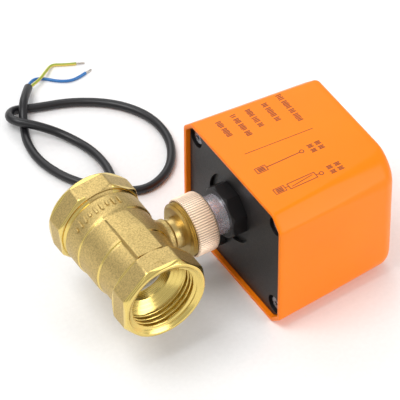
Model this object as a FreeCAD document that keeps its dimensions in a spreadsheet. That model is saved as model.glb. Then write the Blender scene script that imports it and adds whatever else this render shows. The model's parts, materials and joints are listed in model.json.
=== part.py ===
"""Motorised two-way brass ball valve with a plug-on electric actuator.

Row frame in millimetres: +X runs along the stem towards the actuator, +Y along the
pipe and +Z up. The origin is the bottom centre of the box around the valve and its
housing. Every piece is drawn about the centre of the ball and placed from there.
"""

import FreeCAD, Part
import Sketcher
import math
import os
import re

from FreeCAD import Rotation, Vector

SIZES = [
    # name, value or formula, what it is
    ("af", "38.5", "brass octagons across flats"),
    ("body_len", "64", "port face to port face"),
    ("near_oct", "12", "length of the near octagon"),
    ("far_oct", "11", "length of the far octagon"),
    ("cap_turn", "6", "how far the end cap is screwed round, degrees"),
    ("oct_half", "af / 2 / cos(22.5 deg)", "centre of the octagon to its corner"),
    ("port_y", "body_len / 2", "port face"),
    ("band_r", "19", "wide band beside the cap"),
    ("mid_r", "18.3", "middle band"),
    ("waist_r", "17.4", "narrow band beside the near octagon"),
    ("band_end", "19.5", "end of the wide band"),
    ("band_step", "9", "wide band to middle band"),
    ("mid_step", "-6", "middle band to narrow band"),
    ("thread_r", "16.6", "port thread, major radius"),
    ("thread_len", "11", "depth of a port thread"),
    ("port_chamfer", "1.4", "chamfer at the mouth of a port"),
    ("turned_chamfer", "1.5", "turned chamfer on the octagon corners"),
    ("way_r", "11", "waterway between thread and seat"),
    ("pad_w", "12", "width of the flat pad on top"),
    ("pad_z", "19.2", "height of the flat pad"),
    ("pad_end", "6", "far end of the flat pad"),
    ("ball_r", "14", "ball"),
    ("ball_way_r", "9", "hole through the ball"),
    ("cavity_r", "14.9", "cavity around the ball"),
    ("seat_in_r", "10.2", "seat ring, inside"),
    ("seat_len", "6.4", "seat ring, length"),
    ("seat_gap", "0.05", "clearance between ball and seat"),
    ("seat_y", "12.6", "back of a seat ring"),
    ("spigot_r", "16.2", "screwed spigot of the end cap"),
    ("spigot_len", "9", "length of that spigot"),
    ("stem_r", "4.5", "valve stem"),
    ("run_gap", "0.06", "radial clearance of a running fit"),
    ("tang_w", "4", "stem tang and ball slot"),
    ("tang_x", "10.6", "tip of the tang"),
    ("collar_r", "6", "collar of the stem"),
    ("collar_x", "13.9", "start of the collar"),
    ("collar_len", "2", "length of the collar"),
    ("washer_t", "0.8", "thrust washer"),
    ("ring_x", "21", "first O-ring on the stem"),
    ("ring_pitch", "4", "spacing of the O-rings"),
    ("ring_d", "1.8", "thickness of an O-ring"),
    ("boss_r", "8", "stem boss"),
    ("boss_x", "20.7", "end of the stem boss"),
    ("neck_r", "7", "neck of the bonnet"),
    ("bonnet_plug_r", "6.2", "plug of the bonnet inside the boss"),
    ("bonnet_plug_len", "2.6", "length of that plug"),
    ("disc_x", "25.2", "start of the threaded disc"),
    ("disc_r", "12.3", "threaded disc"),
    ("disc_len", "6", "length of the threaded disc"),
    ("seat_x", "disc_x + disc_len", "face that the sleeve sits on"),
    ("square", "6", "square end of the stem"),
    ("square_gap", "0.2", "play of the square in its socket"),
    ("nut_x", "28.2", "valve side of the coupling nut"),
    ("nut_len", "11", "length of the coupling nut"),
    ("nut_r", "13.5", "coupling nut over the ribs"),
    ("rib_depth", "0.45", "depth of the knurl"),
    ("rib_count", "72", "ribs around the nut"),
    ("nut_gap", "0.3", "clearance inside the coupling nut"),
    ("nut_lip", "3", "thickness of the nut's inner lip"),
    ("flange_r", "11.6", "flange of the sleeve"),
    ("flange_len", "3.2", "length of that flange"),
    ("slip_t", "1", "slip ring"),
    ("slip_gap", "0.2", "clearance beside the slip ring"),
    ("sleeve_r", "9", "mounting sleeve, outside"),
    ("sleeve_bore_r", "6.3", "mounting sleeve, bore"),
    ("sleeve_tail", "4", "sleeve standing out behind the base plate"),
    ("lock_t", "3", "lock nut behind the base plate"),
    ("lock_af", "24", "lock nut across flats"),
    ("rim_x", "49.5", "rim of the cover"),
    ("box_w", "77.5", "cover along the pipe, at the rim"),
    ("box_h", "65", "cover height, at the rim"),
    ("box_d", "62", "cover depth"),
    ("box_cy", "-4.5", "middle of the cover along the pipe"),
    ("box_cz", "-4", "middle height of the cover"),
    ("box_draft_w", "3.8", "how much each side leans in, over the depth"),
    ("corner", "6.3", "corner chamfer at the rim"),
    ("corner_rear", "8", "corner chamfer at the back"),
    ("rear_fillet", "2.6", "rounding of the back edges"),
    ("wall", "2", "cover wall"),
    ("recess", "2", "base plate set back from the rim"),
    ("plate_t", "3", "base plate"),
    ("plate_gap", "0.15", "play of the plate in the cover"),
    ("hub_af", "23", "octagonal hub across flats"),
    ("hub_h", "5.5", "height of the hub"),
    ("well_r", "16", "round recess around the hub"),
    ("well_depth", "1.6", "depth of that recess"),
    ("screw_dy", "31.4", "cover screws from the middle, along the pipe"),
    ("screw_dz", "23.5", "cover screws from the middle, in height"),
    ("screw_r", "1.5", "cover screw shank"),
    ("screw_head_r", "3.0", "cover screw head"),
    ("screw_head_t", "1.2", "cover screw head height"),
    ("screw_len", "9", "cover screw shank length"),
    ("sink_r", "4.4", "counterbore for a cover screw"),
    ("sink_depth", "2.2", "depth of that counterbore"),
    ("post_r", "3.3", "post inside the cover for a screw"),
    ("post_len", "12.5", "length of that post"),
    ("web_t", "1.6", "webs from a post to the walls"),
    ("gland_y", "8", "cable gland along the pipe"),
    ("gland_z", "-21.5", "cable gland height"),
    ("gland_r", "5.5", "head of the cable gland"),
    ("gland_out", "6.5", "how far the gland stands out of the plate"),
    ("gland_neck_r", "4", "neck of the gland in the plate"),
    ("cable_d", "4", "cable sheath"),
    ("core_d", "1.4", "insulated core"),
    ("strand_d", "0.9", "bare strands"),
    ("plate_back", "rim_x + recess + plate_t", "back of the base plate"),
    ("standoff_len", "12", "base plate to gear plate"),
    ("standoff_r", "2.5", "standoff"),
    ("frame_x", "plate_back + standoff_len", "front of the gear plate"),
    ("frame_t", "2", "gear plate"),
    ("frame_y0", "-32.5", "gear plate, near edge"),
    ("frame_y1", "23.5", "gear plate, far edge"),
    ("frame_z0", "-33", "gear plate, lower edge"),
    ("frame_z1", "25", "gear plate, upper edge"),
    ("standoff_in", "4", "standoffs from the edges of the gear plate"),
    ("small_head_r", "2", "small screw head"),
    ("small_head_t", "1", "small screw head height"),
    ("small_shank_r", "1", "small screw shank"),
    ("module_a", "0.8", "module of the output pair"),
    ("teeth_out", "48", "teeth of the output gear"),
    ("teeth_pin", "12", "teeth of the idler pinion"),
    ("module_b", "0.6", "module of the motor pair"),
    ("teeth_idl", "40", "teeth of the idler gear"),
    ("teeth_mot", "10", "teeth of the motor pinion"),
    ("idler_angle", "209.5", "direction from output axis to idler, degrees"),
    ("motor_angle", "6.97", "direction from idler to motor axis, degrees"),
    ("idler_y", "module_a * (teeth_out + teeth_pin) / 2 * cos(idler_angle * 1 deg)", "idler axis"),
    ("idler_z", "module_a * (teeth_out + teeth_pin) / 2 * sin(idler_angle * 1 deg)", "idler axis"),
    ("motor_y", "idler_y + module_b * (teeth_idl + teeth_mot) / 2 * cos(motor_angle * 1 deg)", "motor"),
    ("motor_z", "idler_z + module_b * (teeth_idl + teeth_mot) / 2 * sin(motor_angle * 1 deg)", "motor"),
    ("gear_x", "plate_back + lock_t + 2", "front of the output gear"),
    ("gear_t", "3.4", "thickness of the output gear"),
    ("idl_gap", "0.6", "output gear to idler gear"),
    ("idl_t", "1.8", "thickness of the idler gear"),
    ("axle_r", "1.5", "idler axle"),
    ("shaft_r", "3", "output shaft"),
    ("shaft_big_r", "sleeve_bore_r - run_gap", "output shaft in the sleeve"),
    ("shaft_start", "32.4", "valve end of the output shaft"),
    ("motor_r", "23.5", "motor can"),
    ("motor_len", "23", "length of the motor"),
    ("motor_bolt_r", "16", "motor screws from the motor axis"),
    ("cam_gap", "1", "gear plate to cam"),
    ("cam_r", "7", "cam"),
    ("cam_t", "7", "thickness of the cam"),
    ("switch_x", "frame_x + frame_t + 0.6", "front of the first switch"),
    ("switch_t", "5.5", "thickness of a switch"),
    ("switch_pitch", "6", "spacing of the switches"),
    ("switch_y", "12.5", "switch face beside the cam"),
    ("switch_w", "9", "switch, along the pipe"),
    ("switch_h", "19", "switch height"),
    ("lever_t", "0.5", "switch lever thickness"),
    ("lever_w", "3.6", "switch lever width"),
    ("lever_len", "15", "switch lever length"),
    ("rear_x", "switch_x + switch_pitch + switch_t + 1.7", "front of the rear plate"),
    ("rear_t", "2", "rear plate"),
    ("motor_x", "rear_x + rear_t", "front of the motor"),
    ("board_y", "25.5", "near face of the circuit board"),
    ("board_t", "1.6", "circuit board"),
    ("board_z0", "-24", "circuit board, lower edge"),
    ("board_z1", "16", "circuit board, upper edge"),
    ("valve_x", "-(rim_x + box_d - oct_half * cos((22.5 - cap_turn) * 1 deg)) / 2", "ball centre in the row frame"),
    ("valve_y", "-box_cy", "ball centre in the row frame"),
    ("valve_z", "box_h / 2 - box_cz", "ball centre in the row frame"),
]

ALONG_X = Rotation(Vector(0, 1, 0), 90)
ALONG_Y = Rotation(Vector(1, 0, 0), -90)
ALONG_Z = Rotation()

doc = FreeCAD.newDocument("ball_valve")
sheet = doc.addObject("Spreadsheet::Sheet", "Sizes")
NAMES = [row[0] for row in SIZES]
PIECES = []


def fill_sheet():
    for number, (name, value, note) in enumerate(SIZES, start=1):
        is_number = re.fullmatch(r"-?[\d.]+", value)
        sheet.set(f"A{number}", name)
        sheet.set(f"B{number}", value if is_number else "=" + value)
        sheet.set(f"C{number}", note)
        sheet.setAlias(f"B{number}", name)
    doc.recompute()


def size(name):
    """A sheet value as a plain number."""
    value = sheet.get(name)
    return float(getattr(value, "Value", value))


def linked(formula):
    """The formula with each size's name pointing at the sheet."""
    def link(match):
        word = match.group(0)
        return "Sizes." + word if word in NAMES else word
    return re.sub(r"[A-Za-z_][A-Za-z_0-9]*", link, str(formula))


def bind(item, prop, formula):
    item.setExpression(prop, linked(formula))


def place(item, x="0", y="0", z="0", rotation=ALONG_Z):
    """Place an item from the ball's centre."""
    item.Placement.Rotation = rotation
    bind(item, "Placement.Base.x", f"valve_x + ({x})")
    bind(item, "Placement.Base.y", f"valve_y + ({y})")
    bind(item, "Placement.Base.z", f"valve_z + ({z})")
    return item


def keep(item, label):
    item.Label = label
    PIECES.append(item)
    return item


# ---------------------------------------------------------------- primitives

def rod(name, radius, length, x="0", y="0", z="0", rotation=ALONG_X):
    item = doc.addObject("Part::Cylinder", name)
    bind(item, "Radius", radius)
    bind(item, "Height", length)
    return place(item, x, y, z, rotation)


def block(name, spans):
    """A box from its three (low, high) spans."""
    item = doc.addObject("Part::Box", name)
    for prop, (low, high) in zip(("Length", "Width", "Height"), spans):
        bind(item, prop, f"({high}) - ({low})")
    return place(item, spans[0][0], spans[1][0], spans[2][0])


def prism(name, sides, corner_r, length, x, y="0", z="0"):
    """A regular prism along X, with a flat on top."""
    item = doc.addObject("Part::Prism", name)
    item.Polygon = sides
    bind(item, "Circumradius", corner_r)
    bind(item, "Height", length)
    flat_up = Rotation(Vector(1, 0, 0), 180 / sides)
    return place(item, x, y, z, flat_up * ALONG_X)


def join(name, *items):
    item = doc.addObject("Part::MultiFuse", name)
    item.Shapes = list(items)
    return item


def cut(name, base, *tools):
    item = doc.addObject("Part::Cut", name)
    item.Base = base
    item.Tool = tools[0] if len(tools) == 1 else join(name + "_tools", *tools)
    return item


# ------------------------------------------------------------------ sketches

def new_body(label):
    body = doc.addObject("PartDesign::Body", label)
    return keep(place(body), label)


def new_sketch(body, name, plane, offset=None):
    sketch = body.newObject("Sketcher::SketchObject", name)
    for feature in body.Origin.OriginFeatures:
        if feature.Role == plane:
            sketch.AttachmentSupport = [(feature, "")]
    sketch.MapMode = "FlatFace"
    if offset is not None:
        bind(sketch, "AttachmentOffset.Base.z", offset)
    return sketch


def pin_point(sketch, geometry, point, corner, name):
    """Fix a sketch point at two formulas measured from the origin."""
    for kind, formula in zip(("DistanceX", "DistanceY"), corner):
        label = f"{name}_{kind[-1]}"
        index = sketch.addConstraint(Sketcher.Constraint(kind, -1, 1, geometry, point, 1.0))
        sketch.renameConstraint(index, label)
        bind(sketch, "Constraints." + label, formula)


def draw_outline(sketch, corners):
    """A closed outline through corners given as pairs of formulas."""
    count = len(corners)
    spots = []
    for number in range(count):
        turn = 2 * math.pi * number / count
        spots.append(Vector(10 * math.cos(turn), 10 * math.sin(turn), 0))
    first = sketch.GeometryCount
    for number in range(count):
        sketch.addGeometry(Part.LineSegment(spots[number], spots[(number + 1) % count]))
    for number in range(count):
        after = first + (number + 1) % count
        sketch.addConstraint(Sketcher.Constraint("Coincident", first + number, 2, after, 1))
    for number, corner in enumerate(corners):
        pin_point(sketch, first + number, 1, corner, f"p{first + number}")


def draw_circle(sketch, radius, y="0", z="0"):
    index = sketch.addGeometry(Part.Circle(Vector(0, 0, 0), Vector(0, 0, 1), 5))
    number = sketch.addConstraint(Sketcher.Constraint("Radius", index, 5.0))
    sketch.renameConstraint(number, f"r{index}")
    bind(sketch, f"Constraints.r{index}", radius)
    pin_point(sketch, index, 3, (y, z), f"c{index}")


def octagon(radius, turn="0"):
    """Corners of an octagon with a flat on top, as pairs of formulas."""
    corners = []
    for number in range(8):
        angle = f"({turn} + {22.5 + 45 * number}) * 1 deg"
        corners.append((f"({radius}) * cos({angle})", f"({radius}) * sin({angle})"))
    return corners


def chamfered(half_w, half_h, corner, cy, cz):
    """Corners of a rectangle with chamfered corners, as pairs of formulas."""
    corners = []
    for sy, sz, first in ((1, 1, 0), (-1, 1, 1), (-1, -1, 0), (1, -1, 1)):
        on_side = (f"({cy}) + {sy} * ({half_w})", f"({cz}) + {sz} * (({half_h}) - ({corner}))")
        on_top = (f"({cy}) + {sy} * (({half_w}) - ({corner}))", f"({cz}) + {sz} * ({half_h})")
        corners += [on_top, on_side] if first else [on_side, on_top]
    return corners


def pad(body, sketch, length, backwards=False):
    feature = body.newObject("PartDesign::Pad", sketch.Name + "_pad")
    feature.Profile = sketch
    feature.Reversed = backwards
    bind(feature, "Length", length)
    sketch.Visibility = False
    return feature


def spin(body, kind, name, axis, corners):
    """Turn an outline of (along, radius) corners about the stem or pipe axis."""
    sketch = new_sketch(body, name, "XY_Plane")
    if axis == "stem":
        draw_outline(sketch, corners)
    else:
        draw_outline(sketch, [(radius, along) for along, radius in corners])
    feature = body.newObject("PartDesign::" + kind, name + "_turned")
    feature.Profile = sketch
    feature.ReferenceAxis = (sketch, ["H_Axis" if axis == "stem" else "V_Axis"])
    feature.Angle = 360
    return feature


def turned(label, axis, corners):
    body = new_body(label)
    spin(body, "Revolution", label + "_outline", axis, corners)
    return body


def tube_corners(start, length, inner, outer):
    end = f"({start}) + ({length})"
    return [(start, inner), (end, inner), (end, outer), (start, outer)]


# --------------------------------------------------------------------- valve

def port_corners(sign, floor):
    """Outline of a port cut: mouth chamfer, thread, cone and waterway."""
    face = f"{sign} * port_y"
    return [
        (f"{sign} * (port_y + 1)", "0"),
        (f"{sign} * (port_y + 1)", "thread_r + port_chamfer + 1"),
        (face, "thread_r + port_chamfer"),
        (f"{sign} * (port_y - port_chamfer)", "thread_r"),
        (f"{sign} * (port_y - thread_len)", "thread_r"),
        (f"{sign} * (port_y - thread_len - (thread_r - way_r) * 0.55)", "way_r"),
        (f"{sign} * ({floor})", "way_r"),
        (f"{sign} * ({floor})", "0"),
    ]


def octagon_chamfer(sign, face):
    """Outline that turns the corners of an octagon down at one end."""
    return [
        (f"({face}) + {sign} * 1", "oct_half + 1"),
        (f"({face}) + {sign} * 1", "oct_half - turned_chamfer - 0.6"),
        (face, "oct_half - turned_chamfer"),
        (f"({face}) - {sign} * turned_chamfer * 0.6", "oct_half + 0.02"),
        (f"({face}) - {sign} * turned_chamfer * 0.6", "oct_half + 1"),
    ]


def make_valve_body():
    body = new_body("valve_body")
    spin(body, "Revolution", "bands", "pipe", [
        ("0 - port_y + near_oct - 0.5", "0"),
        ("0 - port_y + near_oct - 0.5", "waist_r"),
        ("mid_step - 0.8", "waist_r"),
        ("mid_step", "mid_r"),
        ("band_step - 0.8", "mid_r"),
        ("band_step", "band_r"),
        ("band_end - 0.8", "band_r"),
        ("band_end", "band_r - 0.8"),
        ("band_end", "0"),
    ])
    near = new_sketch(body, "near_octagon", "XZ_Plane", "port_y - near_oct")
    draw_outline(near, octagon("oct_half"))
    pad(body, near, "near_oct")
    top = new_sketch(body, "top_pad", "XY_Plane")
    draw_outline(top, [
        ("0 - pad_w / 2", "0 - port_y + near_oct - 0.5"), ("pad_w / 2", "0 - port_y + near_oct - 0.5"),
        ("pad_w / 2", "pad_end"), ("0 - pad_w / 2", "pad_end"),
    ])
    pad(body, top, "pad_z")
    spin(body, "Revolution", "boss", "stem", [
        ("1", "0"), ("1", "boss_r"), ("boss_x - 0.5", "boss_r"),
        ("boss_x", "boss_r - 0.5"), ("boss_x", "0"),
    ])
    spin(body, "Groove", "near_corner_cut", "pipe", octagon_chamfer(-1, "0 - port_y"))
    spin(body, "Groove", "near_corner_back", "pipe",
         octagon_chamfer(1, "near_oct - port_y"))
    spin(body, "Groove", "port_cut", "pipe", port_corners(-1, "seat_y - 0.5"))
    spin(body, "Groove", "cavity_cut", "pipe", [
        ("0 - seat_y", "0"), ("0 - seat_y", "cavity_r"),
        ("band_end - spigot_len", "cavity_r"), ("band_end - spigot_len", "spigot_r"),
        ("band_end + 1", "spigot_r"), ("band_end + 1", "0"),
    ])
    spin(body, "Groove", "stem_cut", "stem", [
        ("5", "0"), ("5", "collar_r + 0.3"),
        ("collar_x + collar_len + washer_t + 0.1", "collar_r + 0.3"),
        ("collar_x + collar_len + washer_t + 0.1", "stem_r + run_gap"),
        ("boss_x - bonnet_plug_len", "stem_r + run_gap"),
        ("boss_x - bonnet_plug_len", "bonnet_plug_r"),
        ("boss_x + 1", "bonnet_plug_r"), ("boss_x + 1", "0"),
    ])


def make_end_cap():
    body = new_body("end_cap")
    far = new_sketch(body, "far_octagon", "XZ_Plane", "0 - port_y")
    draw_outline(far, octagon("oct_half", "cap_turn"))
    pad(body, far, "far_oct")
    spin(body, "Revolution", "spigot", "pipe", [
        ("band_end - spigot_len", "0"), ("band_end - spigot_len", "spigot_r"),
        ("band_end", "spigot_r"), ("band_end", "band_r - 1.3"),
        ("port_y - far_oct + 0.5", "band_r + 0.1"), ("port_y - far_oct + 0.5", "0"),
    ])
    spin(body, "Groove", "far_corner_cut", "pipe", octagon_chamfer(1, "port_y"))
    spin(body, "Groove", "far_corner_back", "pipe", octagon_chamfer(-1, "port_y - far_oct"))
    spin(body, "Groove", "far_port_cut", "pipe", port_corners(1, "seat_y - 0.5"))
    spin(body, "Groove", "seat_pocket", "pipe", [
        ("band_end - spigot_len - 1", "0"), ("band_end - spigot_len - 1", "cavity_r"),
        ("seat_y", "cavity_r"), ("seat_y", "0"),
    ])


def make_ball():
    sphere = doc.addObject("Part::Sphere", "ball_sphere")
    bind(sphere, "Radius", "ball_r")
    place(sphere)
    way = rod("ball_way", "ball_way_r", "2 * ball_r + 2", z="0 - ball_r - 1", rotation=ALONG_Z)
    slot = block("ball_slot", [("tang_x", "ball_r + 1"), ("0 - ball_r", "ball_r"),
                               ("0 - tang_w / 2 - 0.1", "tang_w / 2 + 0.1")])
    keep(cut("ball_piece", sphere, way, slot), "ball")


def make_seat(label, sign):
    ring = turned_tool(label + "_ring", f"{sign} * (seat_y - seat_len / 2) - seat_len / 2",
                       "seat_len", "seat_in_r", "cavity_r")
    hollow = doc.addObject("Part::Sphere", label + "_hollow")
    bind(hollow, "Radius", "ball_r + seat_gap")
    place(hollow)
    keep(cut(label + "_piece", ring, hollow), label)


def turned_tool(name, start, length, inner, outer):
    """A plain ring along the pipe."""
    outside = rod(name + "_out", outer, length, y=start, rotation=ALONG_Y)
    inside = rod(name + "_in", inner, f"({length}) + 2", y=f"({start}) - 1", rotation=ALONG_Y)
    return cut(name, outside, inside)


def make_stem():
    shank_end = "shaft_start - 0.5"
    shank = turned_outline("stem_shank", [
        ("collar_x", "0"), ("collar_x", "collar_r"), ("collar_x + collar_len", "collar_r"),
        ("collar_x + collar_len", "stem_r"),
        ("ring_x - ring_d / 2", "stem_r"), ("ring_x - ring_d / 2", "stem_r - ring_d + 0.05"),
        ("ring_x + ring_d / 2", "stem_r - ring_d + 0.05"), ("ring_x + ring_d / 2", "stem_r"),
        ("ring_x + ring_pitch - ring_d / 2", "stem_r"),
        ("ring_x + ring_pitch - ring_d / 2", "stem_r - ring_d + 0.05"),
        ("ring_x + ring_pitch + ring_d / 2", "stem_r - ring_d + 0.05"),
        ("ring_x + ring_pitch + ring_d / 2", "stem_r"),
        (shank_end, "stem_r"), (shank_end, "0"),
    ])
    tang = block("stem_tang", [("tang_x + 0.1", "collar_x + 0.5"),
                               ("0 - collar_r + 0.8", "collar_r - 0.8"),
                               ("0 - tang_w / 2", "tang_w / 2")])
    square = block("stem_square", [("shaft_start - 1", "shaft_start + 7"),
                                   ("0 - square / 2", "square / 2"),
                                   ("0 - square / 2", "square / 2")])
    keep(join("stem_piece", shank, tang, square), "stem")


def turned_outline(name, corners):
    """A turned core about the stem, for use inside a joined piece."""
    body = place(doc.addObject("PartDesign::Body", name))
    spin(body, "Revolution", name + "_outline", "stem", corners)
    return body


def make_o_rings():
    rings = []
    for number in (0, 1):
        ring = doc.addObject("Part::Torus", f"o_ring_{number}")
        bind(ring, "Radius1", "stem_r - ring_d / 2 + 0.02")
        bind(ring, "Radius2", "ring_d / 2 - 0.03")
        rings.append(place(ring, f"ring_x + {number} * ring_pitch", rotation=ALONG_X))
    keep(join("o_rings", *rings), "stem_o_rings")


def make_bonnet():
    thread_step = "disc_len / 6"
    corners = [
        ("boss_x - bonnet_plug_len", "stem_r + run_gap"),
        ("boss_x - bonnet_plug_len", "bonnet_plug_r"),
        ("boss_x", "bonnet_plug_r"),
        ("boss_x", "neck_r - 0.6"), ("boss_x + 0.6", "neck_r"),
        ("disc_x", "neck_r"),
        ("disc_x", "disc_r - 1.5"), ("disc_x + 0.9", "disc_r - 0.5"),
    ]
    for number in range(1, 6):
        corners.append((f"disc_x + {number} * {thread_step} - 0.1", "disc_r"))
        corners.append((f"disc_x + {number} * {thread_step} + 0.4", "disc_r - 0.7"))
    corners += [("seat_x", "disc_r - 0.7"), ("seat_x", "stem_r + run_gap")]
    turned("bonnet", "stem", corners)


def make_coupling_nut():
    body = new_body("coupling_nut")
    spin(body, "Revolution", "nut_blank", "stem", [
        ("nut_x", "disc_r + nut_gap"),
        ("nut_x", "nut_r - 0.6"), ("nut_x + 0.6", "nut_r"),
        ("nut_x + nut_len - 1.2", "nut_r"), ("nut_x + nut_len", "nut_r - 1.2"),
        ("nut_x + nut_len", "sleeve_r + nut_gap"),
        ("nut_x + nut_len - nut_lip", "sleeve_r + nut_gap"),
        ("nut_x + nut_len - nut_lip", "disc_r + nut_gap"),
    ])
    rib = new_sketch(body, "knurl_notch", "YZ_Plane", "nut_x - 1")
    width = "3.1416 * nut_r / rib_count * 0.55"
    draw_outline(rib, [
        ("0", "nut_r - rib_depth"), (width, "nut_r + 0.1"), (f"0 - {width}", "nut_r + 0.1"),
    ])
    notch = body.newObject("PartDesign::Pocket", "knurl_cut")
    notch.Profile = rib
    notch.Reversed = True
    bind(notch, "Length", "nut_len + 2")
    ring = body.newObject("PartDesign::PolarPattern", "knurl")
    ring.Originals = [notch]
    ring.Axis = (rib, ["N_Axis"])
    ring.Angle = 360
    bind(ring, "Occurrences", "rib_count")
    body.Tip = ring


def make_sleeve():
    turned("slip_ring", "stem", tube_corners(
        "seat_x + flange_len + slip_gap", "slip_t", "sleeve_r + nut_gap", "disc_r - 0.1"))
    turned("mounting_sleeve", "stem", [
        ("seat_x", "sleeve_bore_r"), ("seat_x", "flange_r"),
        ("seat_x + flange_len", "flange_r"), ("seat_x + flange_len", "sleeve_r"),
        ("plate_back + sleeve_tail - 0.5", "sleeve_r"),
        ("plate_back + sleeve_tail", "sleeve_r - 0.5"),
        ("plate_back + sleeve_tail", "sleeve_bore_r"),
    ])
    blank = prism("lock_blank", 6, "lock_af / 2 / cos(30 deg)", "lock_t", "plate_back")
    bore = rod("lock_bore", "sleeve_r", "lock_t + 2", "plate_back - 1")
    keep(cut("lock_piece", blank, bore), "sleeve_lock_nut")


# ------------------------------------------------------------------- housing

def screw_spots():
    spots = []
    for sy in (-1, 1):
        for sz in (-1, 1):
            spots.append((f"box_cy + {sy} * screw_dy", f"box_cz + {sz} * screw_dz"))
    return spots


def make_base_plate():
    body = new_body("base_plate")
    front = "rim_x + recess"
    sheet_sketch = new_sketch(body, "plate_outline", "YZ_Plane", front)
    inset = "(wall + plate_gap)"
    draw_outline(sheet_sketch, chamfered(
        f"box_w / 2 - {inset} - 0.4", f"box_h / 2 - {inset}",
        "corner - wall * 0.5", "box_cy", "box_cz"))
    pad(body, sheet_sketch, "plate_t")
    well = new_sketch(body, "well", "YZ_Plane", front)
    draw_circle(well, "well_r")
    well_cut = body.newObject("PartDesign::Pocket", "well_cut")
    well_cut.Profile = well
    well_cut.Reversed = True
    bind(well_cut, "Length", "well_depth")
    hub = new_sketch(body, "hub", "YZ_Plane", f"{front} - hub_h")
    draw_outline(hub, octagon("hub_af / 2 / cos(22.5 deg)"))
    pad(body, hub, "hub_h + well_depth + 0.4")
    spin(body, "Groove", "hub_chamfer", "stem", [
        (f"{front} - hub_h - 1", "hub_af / 2 + 3"), (f"{front} - hub_h - 1", "hub_af / 2 - 0.8"),
        (f"{front} - hub_h", "hub_af / 2 - 0.2"), (f"{front} - hub_h + 1.2", "hub_af / 2 + 1"),
        (f"{front} - hub_h + 1.2", "hub_af / 2 + 3"),
    ])
    drill(body, "sleeve_hole", "sleeve_r", "0", "0", f"{front} - hub_h - 1", "hub_h + plate_t + 2")
    drill(body, "gland_hole", "gland_neck_r", "gland_y", "gland_z", f"{front} - 1", "plate_t + 2")
    for number, (y, z) in enumerate(screw_spots()):
        drill(body, f"screw_hole_{number}", "screw_r + 0.2", y, z, f"{front} - 1", "plate_t + 2")
        drill(body, f"counterbore_{number}", "sink_r", y, z, f"{front} - 1", "sink_depth + 1")


def drill(body, name, radius, y, z, start, depth):
    sketch = new_sketch(body, name, "YZ_Plane", start)
    draw_circle(sketch, radius, y, z)
    hole = body.newObject("PartDesign::Pocket", name + "_cut")
    hole.Profile = sketch
    hole.Reversed = True
    bind(hole, "Length", depth)
    return hole


def cover_section(body, number, x, part_way, inset):
    """One outline of the cover; part_way runs from 0 at the rim to 1 at the back."""
    half_w = f"box_w / 2 - ({inset}) - box_draft_w * {part_way}"
    half_h = f"box_h / 2 - ({inset})"
    corner = f"corner + (corner_rear - corner) * {part_way} - 0.586 * ({inset})"
    sketch = new_sketch(body, f"{body.Name}_{number}", "YZ_Plane", x)
    draw_outline(sketch, chamfered(half_w, half_h, corner, "box_cy", "box_cz"))
    return sketch


def cover_form(name, start, back, inset, rounding):
    """A tapered block with chamfered corners and rounded back edges."""
    body = place(doc.addObject("PartDesign::Body", name))
    spots = [(start, "0"), (f"{back} - {rounding}", "0"),
             (f"{back} - 0.29 * {rounding}", f"0.29 * {rounding}"), (back, rounding)]
    sections = []
    for number, (x, extra) in enumerate(spots):
        way = f"((({x}) - rim_x) / box_d)"
        sections.append(cover_section(body, number, x, way, f"{inset} + {extra}"))
    form = body.newObject("PartDesign::AdditiveLoft", name + "_loft")
    form.Profile = sections[0]
    form.Sections = sections[1:]
    form.Ruled = True
    return body


def post_webs(number, y, z, sy, sz):
    """Two webs that tie a screw post to the walls beside it."""
    run = ("plate_back", "plate_back + post_len")
    side_y = f"box_cy + {sy} * (box_w / 2 - wall)"
    side_z = f"box_cz + {sz} * (box_h / 2 - wall / 2)"
    return [
        block(f"post_web_y_{number}", [run, in_order(y, side_y, sy),
                                       (f"{z} - web_t / 2", f"{z} + web_t / 2")]),
        block(f"post_web_z_{number}", [run, (f"{y} - web_t / 2", f"{y} + web_t / 2"),
                                       in_order(z, side_z, sz)]),
    ]


def in_order(near, away, sign):
    """Low and high end of a run that goes outwards on the given side."""
    return (near, away) if sign > 0 else (away, near)


def make_cover():
    outside = cover_form("cover_outside", "rim_x", "(rim_x + box_d)", "0", "rear_fillet")
    inside = cover_form("cover_inside", "rim_x - 1", "(rim_x + box_d - wall)", "wall",
                        "(rear_fillet - wall)")
    posts = []
    holes = []
    for number, (sy, sz) in enumerate([(-1, -1), (-1, 1), (1, -1), (1, 1)]):
        y, z = screw_spots()[number]
        posts.append(rod(f"post_{number}", "post_r", "post_len", "plate_back", y, z))
        posts += post_webs(number, y, z, sy, sz)
        holes.append(rod(f"post_hole_{number}", "screw_r", "screw_len + 0.6",
                         "plate_back - 1", y, z))
    shell = cut("cover_shell", outside, inside)
    keep(cut("cover_piece", join("cover_solid", shell, *posts), *holes), "cover")


def make_cover_screws():
    screws = []
    head = "rim_x + recess + sink_depth - screw_head_t"
    for number, (y, z) in enumerate(screw_spots()):
        top = rod(f"cover_head_{number}", "screw_head_r", "screw_head_t", head, y, z)
        shank = rod(f"cover_shank_{number}", "screw_r", "screw_len",
                    f"{head} + screw_head_t - 0.1", y, z)
        socket_a = block(f"cross_a_{number}", [
            (f"{head} - 1", f"{head} + 0.9"), (f"{y} - 1.5", f"{y} + 1.5"),
            (f"{z} - 0.35", f"{z} + 0.35")])
        socket_b = block(f"cross_b_{number}", [
            (f"{head} - 1", f"{head} + 0.9"), (f"{y} - 0.35", f"{y} + 0.35"),
            (f"{z} - 1.5", f"{z} + 1.5")])
        solid = join(f"cover_screw_{number}_solid", top, shank)
        screws.append(cut(f"cover_screw_{number}", solid, socket_a, socket_b))
    keep(join("cover_screw_set", *screws), "cover_screws")


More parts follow.
